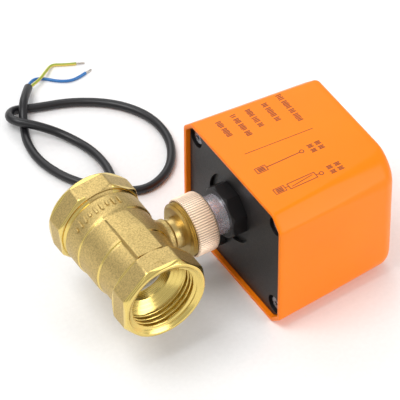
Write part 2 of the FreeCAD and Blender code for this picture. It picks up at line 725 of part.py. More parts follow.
def make_gland():
    front = "rim_x + recess"
    head = rod("gland_head", "gland_r", "gland_out * 0.55", f"{front} - gland_out * 0.55",
               "gland_y", "gland_z")
    nose = rod("gland_nose", "gland_r * 0.72", "gland_out", f"{front} - gland_out",
               "gland_y", "gland_z")
    neck = rod("gland_neck", "gland_neck_r", "plate_t + 0.2", f"{front} - 0.1",
               "gland_y", "gland_z")
    tail = rod("gland_tail", "gland_r * 0.9", "1.6", "plate_back", "gland_y", "gland_z")
    solid = join("gland_solid", head, nose, neck, tail)
    hole = rod("gland_way", "cable_d / 2", "plate_t + 10", f"{front} - gland_out + 1.5",
               "gland_y", "gland_z")
    keep(cut("gland_piece", solid, hole), "cable_gland")


# -------------------------------------------------------------------- drive

def standoff_spots():
    spots = []
    for y in ("frame_y0 + standoff_in", "frame_y1 - standoff_in"):
        for z in ("frame_z0 + standoff_in", "frame_z1 - standoff_in"):
            spots.append((y, z))
    return spots


def make_frame():
    sheet_box = block("frame_sheet", [("frame_x", "frame_x + frame_t"),
                                      ("frame_y0", "frame_y1"), ("frame_z0", "frame_z1")])
    holes = [
        rod("frame_shaft_hole", "shaft_r + run_gap", "frame_t + 2", "frame_x - 1"),
        rod("frame_pinion_hole", "module_b * teeth_mot / 2 + 1.4", "frame_t + 2",
            "frame_x - 1", "motor_y", "motor_z"),
        rod("frame_axle_hole", "axle_r", "frame_t + 2", "frame_x - 1", "idler_y", "idler_z"),
    ]
    keep(cut("frame_piece", sheet_box, *holes), "gear_plate")
    rear_box = block("rear_sheet", [("rear_x", "rear_x + rear_t"),
                                    ("frame_y0", "frame_y1"), ("frame_z0", "frame_z1")])
    rear_holes = [
        rod("rear_shaft_hole", "shaft_r + run_gap", "rear_t + 2", "rear_x - 1"),
        rod("rear_motor_hole", "2", "rear_t + 2", "rear_x - 1", "motor_y", "motor_z"),
    ]
    keep(cut("rear_piece", rear_box, *rear_holes), "rear_plate")
    posts = []
    pillars = []
    heads = []
    for number, (y, z) in enumerate(standoff_spots()):
        posts.append(prism(f"standoff_{number}", 6, "standoff_r", "standoff_len",
                           "plate_back", y, z))
        pillars.append(rod(f"pillar_{number}", "standoff_r", "rear_x - frame_x - frame_t",
                           "frame_x + frame_t", y, z))
        heads.append(rod(f"rear_head_{number}", "small_head_r", "small_head_t",
                         "rear_x + rear_t", y, z))
    keep(join("standoff_set", *posts), "standoffs")
    keep(join("pillar_set", *pillars), "frame_pillars")
    keep(join("rear_head_set", *heads), "rear_plate_screws")


def make_motor():
    can = rod("motor_body", "motor_r", "motor_len", "motor_x", "motor_y", "motor_z")
    step = rod("motor_step", "motor_r - 2", "1.5", "motor_x + motor_len", "motor_y", "motor_z")
    rim = rod("motor_rim", "motor_r + 0.6", "0.8", "motor_x + motor_len * 0.45",
              "motor_y", "motor_z")
    keep(join("motor_piece", can, step, rim), "motor")
    heads = []
    for number, sign in enumerate((-1, 1)):
        heads.append(rod(f"motor_head_{number}", "small_head_r", "small_head_t",
                         "rear_x - small_head_t", "motor_y - 4",
                         f"motor_z + {sign} * motor_bolt_r"))
    keep(join("motor_head_set", *heads), "motor_screws")


def tooth_outline(module, teeth, phase, centre, x):
    """Closed wire of a spur gear across X; phase is the direction of one tooth."""
    pitch_r = module * teeth / 2
    pressure = math.radians(20)
    base_r = pitch_r * math.cos(pressure)
    tip_r = pitch_r + module
    root_r = pitch_r - 1.25 * module
    backlash = 0.06
    half = math.pi / (2 * teeth) - backlash / (2 * pitch_r)
    half += math.tan(pressure) - pressure

    def spot(radius, angle):
        return Vector(x, centre[0] + radius * math.cos(angle), centre[1] + radius * math.sin(angle))

    start = max(base_r, root_r)
    flank = []
    for step in range(7):
        radius = start + (tip_r - start) * step / 6
        roll = math.acos(base_r / radius)
        flank.append((radius, half - (math.tan(roll) - roll)))
    points = []
    for number in range(teeth):
        middle = phase + 2 * math.pi * number / teeth
        points.append(spot(root_r, middle - half * 1.02))
        points += [spot(radius, middle - angle) for radius, angle in flank]
        points += [spot(radius, middle + angle) for radius, angle in reversed(flank)]
        points.append(spot(root_r, middle + half * 1.02))
    return Part.Face(Part.makePolygon(points + [points[0]]))


def spur(module, teeth, phase, centre, x, width):
    return tooth_outline(module, teeth, phase, centre, x).extrude(Vector(width, 0, 0))


def shaped(label, solid):
    """A piece drawn with Part functions, moved to the ball's place."""
    item = doc.addObject("Part::Feature", label)
    item.Shape = solid
    item.Placement.Base = Vector(size("valve_x"), size("valve_y"), size("valve_z"))
    return keep(item, label)


def hole_x(radius, centre, x, length):
    spot = Vector(x - 1, centre[0], centre[1])
    return Part.makeCylinder(radius, length + 2, spot, Vector(1, 0, 0))


def make_gears():
    out_angle = math.radians(size("idler_angle"))
    mot_angle = math.radians(size("motor_angle"))
    idler = (size("idler_y"), size("idler_z"))
    motor = (size("motor_y"), size("motor_z"))
    teeth_out, teeth_pin = round(size("teeth_out")), round(size("teeth_pin"))
    teeth_idl, teeth_mot = round(size("teeth_idl")), round(size("teeth_mot"))
    gear_x, gear_t = size("gear_x"), size("gear_t")
    idl_x = gear_x + gear_t + size("idl_gap")
    idl_t = size("idl_t")

    output = spur(size("module_a"), teeth_out, out_angle, (0, 0), gear_x, gear_t)
    output = output.cut(hole_x(size("shaft_r"), (0, 0), gear_x, gear_t))
    shaped("output_gear", output)

    gap_phase = out_angle + math.pi + math.pi / teeth_pin
    pinion = spur(size("module_a"), teeth_pin, gap_phase, idler, gear_x, idl_x - gear_x)
    wheel = spur(size("module_b"), teeth_idl, mot_angle, idler, idl_x, idl_t)
    idler_gear = pinion.fuse(wheel)
    bore = hole_x(size("axle_r") + size("run_gap"), idler, gear_x, 12)
    shaped("idler_gear", idler_gear.cut(bore).removeSplitter())

    phase = mot_angle + math.pi + math.pi / teeth_mot
    drive = spur(size("module_b"), teeth_mot, phase, motor, idl_x - 0.1, idl_t + 0.4)
    reach = size("motor_x") - idl_x + 0.05
    spot = Vector(idl_x - 0.1, motor[0], motor[1])
    drive = drive.fuse(Part.makeCylinder(1, reach, spot, Vector(1, 0, 0)))
    shaped("motor_pinion", drive.removeSplitter())
    keep(rod("idler_axle_rod", "axle_r", "frame_x + frame_t - plate_back", "plate_back",
             "idler_y", "idler_z"), "idler_axle")


def make_output_shaft():
    big_end = "plate_back + sleeve_tail + 0.4"
    end = "motor_x - 0.2"
    core = turned_outline("shaft_core", [
        ("shaft_start", "0"), ("shaft_start", "shaft_big_r - 0.4"),
        ("shaft_start + 0.4", "shaft_big_r"), (big_end, "shaft_big_r"), (big_end, "shaft_r"),
        (end, "shaft_r"), (end, "0"),
    ])
    socket = block("shaft_socket", [
        ("shaft_start - 1", "shaft_start + 7.3"),
        ("0 - square / 2 - square_gap", "square / 2 + square_gap"),
        ("0 - square / 2 - square_gap", "square / 2 + square_gap")])
    keep(cut("shaft_piece", core, socket), "output_shaft")


def make_cam():
    start = "frame_x + frame_t + cam_gap"
    disc = rod("cam_disc", "cam_r", "cam_t", start)
    hole = rod("cam_hole", "shaft_r", "cam_t + 2", f"{start} - 1")
    notch = block("cam_notch", [(f"{start} - 1", f"{start} + cam_t + 1"),
                                ("cam_r - 1.6", "cam_r + 2"), ("-2.5", "2.5")])
    pocket = rod("cam_screw_way", "small_shank_r", "cam_r", f"{start} + cam_t / 2",
                 "0", "shaft_r", rotation=ALONG_Z)
    keep(cut("cam_piece", disc, hole, notch, pocket), "cam")
    keep(rod("cam_screw_rod", "small_shank_r - 0.05", "cam_r - shaft_r - 0.3",
             f"{start} + cam_t / 2", "0", "shaft_r + 0.1", ALONG_Z), "cam_screw")


def make_switch(label, number):
    start = f"switch_x + {number} * switch_pitch"
    case = block(label + "_case", [(start, f"{start} + switch_t"),
                                   ("switch_y", "switch_y + switch_w"),
                                   ("0 - switch_h / 2", "switch_h / 2")])
    pins = []
    for index in (-1, 0, 1):
        pins.append(block(f"{label}_pin_{index + 1}", [
            (f"{start} + switch_t / 2 - 0.3", f"{start} + switch_t / 2 + 0.3"),
            ("switch_y + switch_w - 0.5", "switch_y + switch_w + 2.5"),
            (f"{index} * 6.5 - 1.2", f"{index} * 6.5 + 1.2")]))
    ear = block(label + "_ear", [
        (f"{start} + switch_t / 2 - lever_w / 2", f"{start} + switch_t / 2 + lever_w / 2"),
        ("switch_y - 3.1", "switch_y + 0.5"), ("switch_h / 2 - 0.8", "switch_h / 2")])
    plunger = block(label + "_plunger", [
        (f"{start} + switch_t / 2 - 0.6", f"{start} + switch_t / 2 + 0.6"),
        ("switch_y - 1", "switch_y + 0.5"), ("1.4", "2.6")])
    holes = [rod(f"{label}_hole_{index}", "small_shank_r + 0.05", "switch_t + 2",
                 f"{start} - 1", "switch_y + switch_w * 0.7", f"{sign} * switch_h * 0.28")
             for index, sign in enumerate((-1, 1))]
    keep(cut(label + "_piece", join(label + "_solid", case, ear, plunger, *pins), *holes), label)
    lever = block(label + "_strip", [
        (f"{start} + switch_t / 2 - lever_w / 2", f"{start} + switch_t / 2 + lever_w / 2"),
        ("switch_y - 2.6 - lever_t", "switch_y - 2.6"),
        ("switch_h / 2 - 1.5 - lever_len", "switch_h / 2 - 1.5")])
    tip = rod(label + "_tip", "0.9", "lever_w", f"{start} + switch_t / 2 - lever_w / 2",
              "switch_y - 3.1 - lever_t", "0")
    curl = rod(label + "_curl", "0.45", "lever_w", f"{start} + switch_t / 2 - lever_w / 2",
               "switch_y - 2.6 - lever_t / 2", "switch_h / 2 - 1.5")
    name = label.replace("switch", "lever")
    keep(join(name + "_piece", lever, tip, curl), name)


def make_switch_screws():
    rods = []
    for index, sign in enumerate((-1, 1)):
        y, z = "switch_y + switch_w * 0.7", f"{sign} * switch_h * 0.28"
        start = "frame_x + frame_t"
        length = "switch_x + switch_pitch + switch_t - frame_x - frame_t + 0.2"
        rods.append(rod(f"switch_shank_{index}", "small_shank_r", length, start, y, z))
        rods.append(rod(f"switch_head_{index}", "small_head_r", "small_head_t",
                        f"{start} + {length}", y, z))
        rods.append(cut(f"switch_spacer_{index}",
                        rod(f"spacer_out_{index}", "small_head_r", "0.6", start, y, z),
                        rod(f"spacer_in_{index}", "small_shank_r * 0.5", "0.6", start, y, z)))
    keep(join("switch_screw_set", *rods), "switch_screws")


def make_board():
    keep(block("board_sheet", [("frame_x + frame_t + 0.5", "motor_x + motor_len - 2"),
                               ("board_y", "board_y + board_t"),
                               ("board_z0", "board_z1")]), "circuit_board")
    brackets = [block(f"bracket_{number}", [("rear_x - 4", "rear_x"), ("15", "board_y"),
                                            (f"{low}", f"{low} + 3")])
                for number, low in enumerate(("board_z0 + 2", "board_z1 - 5"))]
    keep(join("bracket_set", *brackets), "board_brackets")
    keep(block("capacitor_case", [("motor_x + 3", "motor_x + 15"), ("board_y - 6.5", "board_y"),
                                  ("board_z1 - 13", "board_z1 - 2")]), "capacitor")
    terminal = block("terminal_case", [("motor_x + 3", "motor_x + 10"),
                                       ("board_y - 6", "board_y"),
                                       ("board_z0 + 1", "board_z0 + 16")])
    screws = [rod(f"terminal_screw_{number}", "1.5", "2", "motor_x + 6.5", "board_y - 7",
                  f"board_z0 + 3.5 + {number} * 5", ALONG_Y) for number in range(3)]
    keep(cut("terminal_piece", terminal, *screws), "terminal_block")


# -------------------------------------------------------------------- cable

SHEATH_ROUTE = [
    (45, 8, -21.5), (24, 9, -24.5), (19, 31, -28.5), (26, 50, -29.6), (35, 72, -30.2),
    (37.5, 91, -34.4), (32, 106.5, -34.2), (23, 115.5, -30.8), (12.5, 124.5, -29.4),
    (18.2, 133.9, -33.6), (29, 130, -34.45), (46, 124.5, -34.45), (62, 113, -34.45),
    (71, 97, -34.45), (70.5, 79, -34.45), (61, 64, -34.45), (47, 58, -34.45),
    (36, 62, -34.45), (20, 79, -34.45), (13.5, 97, -34.45), (14.2, 111, -34.45),
    (18.5, 122, -34.45), (22.5, 129.3, -29.9), (26.5, 134.5, -29.7), (32.5, 142, -33.2),
]
BLUE_ROUTE = [
    (32.2, 142.4, -33.6), (36.5, 147, -35), (41.5, 147.3, -35.75), (48.5, 139.8, -35.75),
    (55, 137.3, -35.75), (61, 139, -35.75),
]
BLUE_STRANDS = [(61, 139, -35.75), (62.7, 139.1, -35.8), (64.4, 139.9, -36)]
EARTH_ROUTE = [
    (33, 141.6, -33), (39, 143.5, -33.3), (45.5, 148, -33.9), (50.5, 152, -35.75),
    (55.5, 148.8, -35.75), (60.5, 146.6, -35.75),
]
EARTH_STRANDS = [(60.5, 146.6, -35.75), (62.3, 146, -35.8), (64, 145.2, -36)]


def route_wire(route):
    """Straight runs joined by tangent arcs; also gives each arc's radius."""
    points = [Vector(*spot) for spot in route]
    edges = []
    radii = []
    last = points[0]
    for before, corner, after in zip(points, points[1:], points[2:]):
        inward, onward = corner - before, after - corner
        turn = inward.getAngle(onward)
        reach = 0.45 * min(inward.Length, onward.Length)
        radii.append(reach / math.tan(turn / 2))
        start = corner - inward.normalize() * reach
        end = corner + onward.normalize() * reach
        bulge = (start + end) * 0.5 - corner
        away = radii[-1] / math.cos(turn / 2) - radii[-1]
        middle = corner + bulge.normalize() * away
        edges.append(Part.LineSegment(last, start).toShape())
        edges.append(Part.Arc(start, middle, end).toShape())
        last = end
    edges.append(Part.LineSegment(last, points[-1]).toShape())
    return Part.Wire(edges), radii


def make_cord(label, route, diameter):
    wire, radii = route_wire(route)
    start = Vector(*route[0])
    heading = Vector(*route[1]) - start
    ring = Part.Wire(Part.Circle(start, heading, diameter / 2).toShape())
    solid = wire.makePipeShell([ring], True, False)
    expected = math.pi * diameter ** 2 / 4 * wire.Length
    print(label, "length", round(wire.Length, 1), "volume ratio",
          round(solid.Volume / expected, 4), "radii", [round(radius, 1) for radius in radii])
    shaped(label, solid)


def make_cable():
    make_cord("cable_sheath", SHEATH_ROUTE, size("cable_d"))
    make_cord("core_blue", BLUE_ROUTE, size("core_d"))
    make_cord("core_earth", EARTH_ROUTE, size("core_d"))
    make_cord("strands_blue", BLUE_STRANDS, size("strand_d"))
    make_cord("strands_earth", EARTH_STRANDS, size("strand_d"))


# ------------------------------------------------------------- check and save

def check_pieces():
    for item in doc.Objects:
        if "Invalid" in item.State or "Error" in item.State:
            raise RuntimeError("cannot build " + item.Label)
    for item in PIECES:
        if item.Shape.isNull() or not item.Shape.isValid() or not item.Shape.Solids:
            raise RuntimeError("no closed shape for " + item.Label)


def save_pieces():
    os.makedirs("parts", exist_ok=True)
    for item in PIECES:
        item.Shape.exportStep(f"parts/{item.Label}.step")
        print(item.Label, len(item.Shape.Solids), round(item.Shape.Volume))


fill_sheet()
make_valve_body()
make_end_cap()
make_ball()
make_seat("seat_near", -1)
make_seat("seat_far", 1)
make_stem()
make_o_rings()
turned("thrust_washer", "stem", tube_corners(
    "collar_x + collar_len", "washer_t", "stem_r + run_gap", "collar_r"))
make_bonnet()
make_coupling_nut()
make_sleeve()
make_base_plate()
make_cover()
make_cover_screws()
make_gland()
make_frame()
make_motor()
make_gears()
make_output_shaft()
make_cam()
make_switch("switch_lower", 0)
make_switch("switch_upper", 1)
make_switch_screws()
make_board()
make_cable()
doc.recompute()
check_pieces()
save_pieces()
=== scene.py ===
"""Motorised brass ball valve with an orange actuator and its supply cable.

Lengths are in millimetres from the centre of the ball unless a name says metres:
X runs along the stem to the actuator, Y along the pipe and Z up.
"""

import json
import math
from types import SimpleNamespace

import bmesh
import bpy
import numpy as np
from bpy.props import FloatProperty, FloatVectorProperty, IntProperty, PointerProperty
from mathutils import Matrix, Vector


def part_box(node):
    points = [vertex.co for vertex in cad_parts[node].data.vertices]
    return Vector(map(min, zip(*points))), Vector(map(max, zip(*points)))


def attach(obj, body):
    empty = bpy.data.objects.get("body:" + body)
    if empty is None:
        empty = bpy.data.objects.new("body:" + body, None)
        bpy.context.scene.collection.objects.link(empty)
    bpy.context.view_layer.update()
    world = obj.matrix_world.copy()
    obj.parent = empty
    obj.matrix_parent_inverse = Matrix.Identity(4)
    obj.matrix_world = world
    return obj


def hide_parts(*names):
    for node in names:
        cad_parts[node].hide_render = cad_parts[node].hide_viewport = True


bl_info = {
    "name": "Motorised ball valve",
    "version": (1, 0, 0),
    "blender": (4, 5, 0),
    "location": "View3D > Sidebar > Valve",
    "description": "Builds a motorised brass ball valve around its packed frame",
    "category": "Object",
}

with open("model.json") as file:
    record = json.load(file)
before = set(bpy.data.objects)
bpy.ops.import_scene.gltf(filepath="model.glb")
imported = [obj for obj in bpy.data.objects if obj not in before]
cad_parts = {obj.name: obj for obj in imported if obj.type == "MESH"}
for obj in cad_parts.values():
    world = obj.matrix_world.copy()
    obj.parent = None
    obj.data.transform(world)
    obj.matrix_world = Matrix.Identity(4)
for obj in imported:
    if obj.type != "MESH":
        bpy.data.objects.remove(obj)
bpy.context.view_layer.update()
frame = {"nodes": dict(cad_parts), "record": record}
MM = 0.001

# Lengths in mm that several pieces share.
WIDE_BAND = 19.0
MIDDLE_BAND = 18.3
NARROW_BAND = 17.4
PAD_HALF_WIDTH = 6.0
PAD_HEIGHT = 19.2
WATERWAY = 11.0
CAVITY = 14.9
SPIGOT = 16.2
NUT_RADIUS = 13.5
COVER_LEAN = 3.8
COVER_CORNER = 6.3
COVER_CORNER_GROWTH = 1.7
CHAMFER_SHIFT = 0.586  # 2 - sqrt 2: how a chamfer shortens when its outline moves in
PRINT_HEIGHT = 0.04
PRINT_SINK = 0.05


def joint_place(name):
    """Pivot of a joint in the row frame, in metres."""
    for joint in frame["record"]["behaviour"]["joints"]:
        if joint["name"] == name:
            return np.array(joint["pos_m"])
    raise RuntimeError("no joint called " + name)


BALL = joint_place("valve_turn")


def span(node, axis):
    """Lowest and highest place of a CAD node along an axis, in mm from the ball."""
    low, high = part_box(node)
    return (low[axis] - BALL[axis]) / MM, (high[axis] - BALL[axis]) / MM


def linear(hex_colour):
    """An sRGB hex value as linear red, green and blue."""
    parts = [int(hex_colour[k : k + 2], 16) / 255 for k in (1, 3, 5)]
    return tuple(p / 12.92 if p <= 0.04045 else ((p + 0.055) / 1.055) ** 2.4 for p in parts)


# ------------------------------------------------------------ sizes and colours


def length(name, description, millimetres):
    """A length property; Blender keeps and shows it in metres or their parts."""
    return FloatProperty(
        name=name, description=description, default=millimetres * MM, min=0.0, precision=5,
        subtype="DISTANCE", unit="LENGTH",
    )


def colour(name, description, hex_colour):
    return FloatVectorProperty(
        name=name, description=description, default=linear(hex_colour), subtype="COLOR",
        size=3, min=0.0, max=1.0,
    )


class ValveSizes(bpy.types.PropertyGroup):
    """Sizes that a user may change."""

    port_face: length("Port face", "Ball centre to a port face", span("valve_body", 1)[0] * -1)
    across_flats: length("Across flats", "Width across the octagon's flats", 38.5)
    near_octagon: length("Near octagon", "Length of the octagon on the body", 12.0)
    far_octagon: length("Far octagon", "Length of the octagon on the end cap", 11.0)
    thread_radius: length("Thread radius", "Major radius of the port thread", 16.6)
    thread_pitch: length("Thread pitch", "Pitch of the port thread", 2.309)
    thread_depth: length("Thread depth", "Height of the thread ridge", 1.35)
    turned_edge: length("Turned edge", "How far an octagon's corners are turned down", 1.5)
    knurl_ribs: IntProperty(name="Knurl ribs", description="Ribs round the nut", default=72)
    knurl_depth: length("Knurl depth", "Height of a rib on the nut", 0.45)
    cover_wall: length("Cover wall", "Thickness of the orange cover", 2.0)
    cover_edge: length("Cover edge", "Rounding of the cover's long edges", 1.2)
    cover_back: length("Cover back", "Rounding of the cover's back edges", 2.6)
    cover_side: length("Cover side", "Rounding of the upright back edge on the near side", 7.0)
    cable: length("Cable", "Diameter of the black sheath", 4.0)
    core: length("Core", "Diameter of an insulated core", 1.4)
    strands: length("Strands", "Diameter of a bare end", 0.9)


class ValveColours(bpy.types.PropertyGroup):
    """Colours that a user may change."""

    brass: colour("Cast brass", "Tumbled cast brass", "#C8AF72")
    bright_brass: colour("Turned brass", "Freshly turned brass", "#E6CC78")
    nut: colour("Nut", "Copper coloured plating on the nut", "#FFE6CC")
    cover: colour("Cover", "Orange cover", "#FF8206")
    plate: colour("Plate", "Black base plate", "#161415")
    sheath: colour("Sheath", "Black cable sheath", "#141316")
    blue: colour("Blue core", "Blue insulation", "#2F72B4")
    yellow: colour("Yellow core", "Yellow of the striped insulation", "#E2CA5C")
    green: colour("Green stripe", "Green of the striped insulation", "#93A53C")
    print: colour("Print", "Printed marks on the cover", "#7A340E")


def sizes():
    """The sizes that are set now, with lengths in millimetres."""
    group = bpy.context.scene.valve_sizes
    values = {name: getattr(group, name) for name in ValveSizes.__annotations__}
    return SimpleNamespace(**{name: round(value / MM, 4) if isinstance(value, float) else value
                              for name, value in values.items()})


def colours():
    """The colours that are set now."""
    return bpy.context.scene.valve_colours


# --------------------------------------------------------------------- meshes


def grid_faces(rows, columns, wrap_rows, wrap_columns, start):
    """Quads over a grid of points; a wrapped direction closes on itself."""
    row = np.arange(rows if wrap_rows else rows - 1)
    column = np.arange(columns if wrap_columns else columns - 1)
    i, j = np.meshgrid(row, column, indexing="ij")
    down, right = (i + 1) % rows, (j + 1) % columns
    corners = [i * columns + j, i * columns + right, down * columns + right, down * columns + j]
    return np.stack(corners, axis=-1).reshape(-1, 4) + start


def piece(name, grids, body, *materials, sharp=40.0, slot=None, second=None):
    """One object from several closed grids, each (points, wrap rows, wrap columns).

    second marks the faces of the first grid that take the second material.
    """
    points, faces, start = [], [], 0
    for grid, wrap_rows, wrap_columns in grids:
        rows, columns = grid.shape[:2]
        faces.append(grid_faces(rows, columns, wrap_rows, wrap_columns, start))
        points.append(grid.reshape(-1, 3))
        start += rows * columns
    points = np.concatenate(points) * MM + BALL
    faces = np.concatenate(faces)
    mesh = bpy.data.meshes.new(name)
    mesh.vertices.add(len(points))
    mesh.vertices.foreach_set("co", points.astype(np.float32).ravel())
    mesh.loops.add(faces.size)
    mesh.loops.foreach_set("vertex_index", faces.astype(np.int32).ravel())
    mesh.polygons.add(len(faces))
    mesh.polygons.foreach_set("loop_start", np.arange(0, faces.size, 4, dtype=np.int32))
    for material in materials:
        mesh.materials.append(material)
    if second is not None:
        chosen = np.zeros(len(faces), dtype=np.int32)
        chosen[: second.size] = second.ravel()
        mesh.polygons.foreach_set("material_index", chosen)
    mesh.update(calc_edges=True)
    weld(mesh)
    mesh.polygons.foreach_set("use_smooth", np.ones(len(mesh.polygons), dtype=bool))
    mesh.set_sharp_from_angle(angle=math.radians(sharp))
    item = bpy.data.objects.new(name, mesh)
    bpy.context.scene.collection.objects.link(item)
    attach(item, body)
    return item


def weld(mesh):
    """Close seams and poles, then turn every face outwards."""
    work = bmesh.new()
    work.from_mesh(mesh)
    bmesh.ops.remove_doubles(work, verts=work.verts, dist=2e-7)
    bmesh.ops.dissolve_degenerate(work, edges=work.edges, dist=1e-7)
    bmesh.ops.recalc_face_normals(work, faces=work.faces)
    work.to_mesh(mesh)
    work.free()


def rounded(corners, radius, steps=5, closed=True):
    """Round every corner of an outline with a parabola whose legs are radius long."""
    points = np.asarray(corners, dtype=float)
    before, after = np.roll(points, 1, axis=0), np.roll(points, -1, axis=0)
    back, onward = before - points, after - points
    back_length = np.linalg.norm(back, axis=1, keepdims=True)
    onward_length = np.linalg.norm(onward, axis=1, keepdims=True)
    reach = np.minimum(radius, 0.45 * np.minimum(back_length, onward_length))
    start = points + back / back_length * reach
    end = points + onward / onward_length * reach
    t = np.linspace(0, 1, steps).reshape(1, -1, 1)
    curve = ((1 - t) ** 2 * start[:, None] + 2 * t * (1 - t) * points[:, None]
             + t ** 2 * end[:, None])
    if not closed:
        curve = curve[1:-1].reshape(-1, 2)
        return np.concatenate([points[:1], curve, points[-1:]])
    return curve.reshape(-1, 2)


def lathe(profile, axis, segments):
    """Profile of (along, radius) turned about an axis: angle runs along the columns."""
    profile = np.asarray(profile, dtype=float)
    angle = np.linspace(0, 2 * math.pi, segments, endpoint=False)
    return turned_grid(profile[:, :1], profile[:, 1:], angle, axis), True, True


def turned_grid(along, radius, angle, axis):
    """Points at a place along an axis, a radius and an angle; arrays broadcast."""
    across, up = radius * np.cos(angle), radius * np.sin(angle)
    along, across, up = np.broadcast_arrays(along, across, up)
    if axis == "stem":
        return np.stack([along, across, up], axis=-1)
    return np.stack([across, along, up], axis=-1)


# ------------------------------------------------------------------ materials

WAVE_PERIOD = 1 / 3.2  # a wave texture repeats about every 1 / 3.2 of its scale's inverse
FIRST, SECOND, BLEND = 6, 7, 2  # a Mix node's two colour inputs and its colour output


def add_node(tree, kind, settings):
    """Add one node and give its outputs.

    Each setting is a property of the node, the value of an input, or the output of
    another node that is linked to the input.
    """
    made = tree.nodes.new("ShaderNode" + kind)
    for key, value in settings.items():
        if isinstance(key, str) and hasattr(made, key):
            setattr(made, key, value)
        elif isinstance(value, bpy.types.NodeSocket):
            tree.links.new(value, made.inputs[key])
        else:
            made.inputs[key].default_value = value
    return made.outputs


def new_material(name):
    """A material without nodes, and its node tree."""
    material = bpy.data.materials.new(name)
    material.use_nodes = True
    material.node_tree.nodes.clear()
    return material, material.node_tree


def surfaced(material, settings):
    """The material with a principled shader; its uniform values sit on its sockets."""
    tree = material.node_tree
    shader = add_node(tree, "BsdfPrincipled", settings)
    add_node(tree, "OutputMaterial", {"Surface": shader["BSDF"]})
    return material


def rgba(colour_value, factor=1.0):
    """A colour made darker or lighter by factor, with full opacity."""
    return (*(min(1.0, part * factor) for part in colour_value[:3]), 1.0)


def object_place(tree):
    """Coordinates that stay with the piece, in metres."""
    return add_node(tree, "TexCoord", {})["Object"]


def patches(tree, size_mm, low, high, values=(0.0, 1.0), detail=3.0, roughness=0.55):
    """Soft patches size_mm across, from the first value below low to the second above high."""
    noise = add_node(tree, "TexNoise", {
        "Vector": object_place(tree), "Scale": 1 / (size_mm * MM), "Detail": detail,
        "Roughness": roughness})
    return add_node(tree, "MapRange", {
        "Value": noise["Fac"], "From Min": low, "From Max": high, "To Min": values[0],
        "To Max": values[1]})["Result"]


def tumbled_cast_brass():
    """Sand cast brass, tumbled: even satin, slightly pebbled, a little darker in hollows."""
    material, tree = new_material("tumbled_cast_brass")
    tint = colours().brass
    # Sand grit is about 0.2 mm across: drawn coarser, so that it shows.
    grain = add_node(tree, "TexNoise", {
        "Vector": object_place(tree), "Scale": 1 / (0.7 * MM), "Detail": 3.0,
        "Roughness": 0.65})["Fac"]
    pits = add_node(tree, "MapRange", {"Value": grain, "From Min": 0.38, "From Max": 0.6})
    tone = add_node(tree, "Mix", {"data_type": "RGBA", "Factor": pits["Result"],
                                  FIRST: rgba(tint, 0.76), SECOND: rgba(tint, 1.08)})
    gloss = add_node(tree, "MapRange", {"Value": grain, "From Min": 0.3, "From Max": 0.7,
                                        "To Min": 0.55, "To Max": 0.4})
    pebbles = add_node(tree, "Bump", {"Height": grain, "Strength": 1.0, "Distance": 0.1 * MM})
    return surfaced(material, {"Metallic": 1.0, "Base Color": tone[BLEND],
                               "Roughness": gloss["Result"], "Normal": pebbles["Normal"]})


def turned_brass(name, axis, tint, rough):
    """Brass straight from the lathe: bright, with fine rings left by the tool."""
    material, tree = new_material(name)
    # The tool's rings are about 0.2 mm apart: drawn wider, so that they show.
    rings = add_node(tree, "TexWave", {
        "Vector": object_place(tree), "bands_direction": axis,
        "Scale": WAVE_PERIOD / (0.9 * MM), "Distortion": 1.2, "Detail": 2.0})["Fac"]
    gloss = add_node(tree, "MapRange", {"Value": rings, "To Min": rough, "To Max": rough + 0.1})
    grooves = add_node(tree, "Bump", {"Height": rings, "Strength": 1.0, "Distance": 0.0015 * MM})
    return surfaced(material, {"Metallic": 1.0, "Base Color": rgba(tint),
                               "Roughness": gloss["Result"], "Normal": grooves["Normal"]})


def copper_plate():
    """Brass nut with a thin copper coloured plate: soft satin, pinkish.

    The hollows between the ribs are darkened with painted shade: a cosine wave of the angle round
    the stem, with a crest for each rib, kept to the rim by the distance from the stem's axis.
    """
    material, tree = new_material("copper_plated_brass")
    tint = colours().nut
    offset = add_node(tree, "VectorMath", {"operation": "SUBTRACT", 0: object_place(tree),
                                           1: BALL})["Vector"]
    part = add_node(tree, "SeparateXYZ", {"Vector": offset})
    angle = add_node(tree, "Math", {"operation": "ARCTAN2", 0: part["Z"], 1: part["Y"]})
    ribs = add_node(tree, "Math", {"operation": "MULTIPLY", 0: angle["Value"],
                                   1: float(sizes().knurl_ribs)})
    wave = add_node(tree, "Math", {"operation": "COSINE", 0: ribs["Value"]})
    crest = add_node(tree, "MapRange", {"Value": wave["Value"], "From Min": -0.9,
                                        "From Max": 0.1})
    across = add_node(tree, "Math", {"operation": "MULTIPLY", 0: part["Y"], 1: part["Y"]})
    up = add_node(tree, "Math", {"operation": "MULTIPLY", 0: part["Z"], 1: part["Z"]})
    square = add_node(tree, "Math", {"operation": "ADD", 0: across["Value"], 1: up["Value"]})
    distance = add_node(tree, "Math", {"operation": "SQRT", 0: square["Value"]})
    flank = add_node(tree, "MapRange", {
        "Value": distance["Value"], "From Min": (NUT_RADIUS - 0.6) * MM,
        "From Max": (NUT_RADIUS - 0.5) * MM, "To Min": 1.0, "To Max": 0.0})
    plain = add_node(tree, "Math", {"operation": "MAXIMUM", 0: crest["Result"],
                                    1: flank["Result"]})
    # Painted shade: the hollows between the ribs on the rim take the tint at half strength.
    tone = add_node(tree, "Mix", {"data_type": "RGBA", "Factor": plain["Value"],
                                  FIRST: rgba(tint, 0.5), SECOND: rgba(tint)})
    return surfaced(material, {"Metallic": 0.75, "Base Color": tone[BLEND],
                               "Roughness": patches(tree, 0.3, 0.3, 0.7, (0.3, 0.42))})


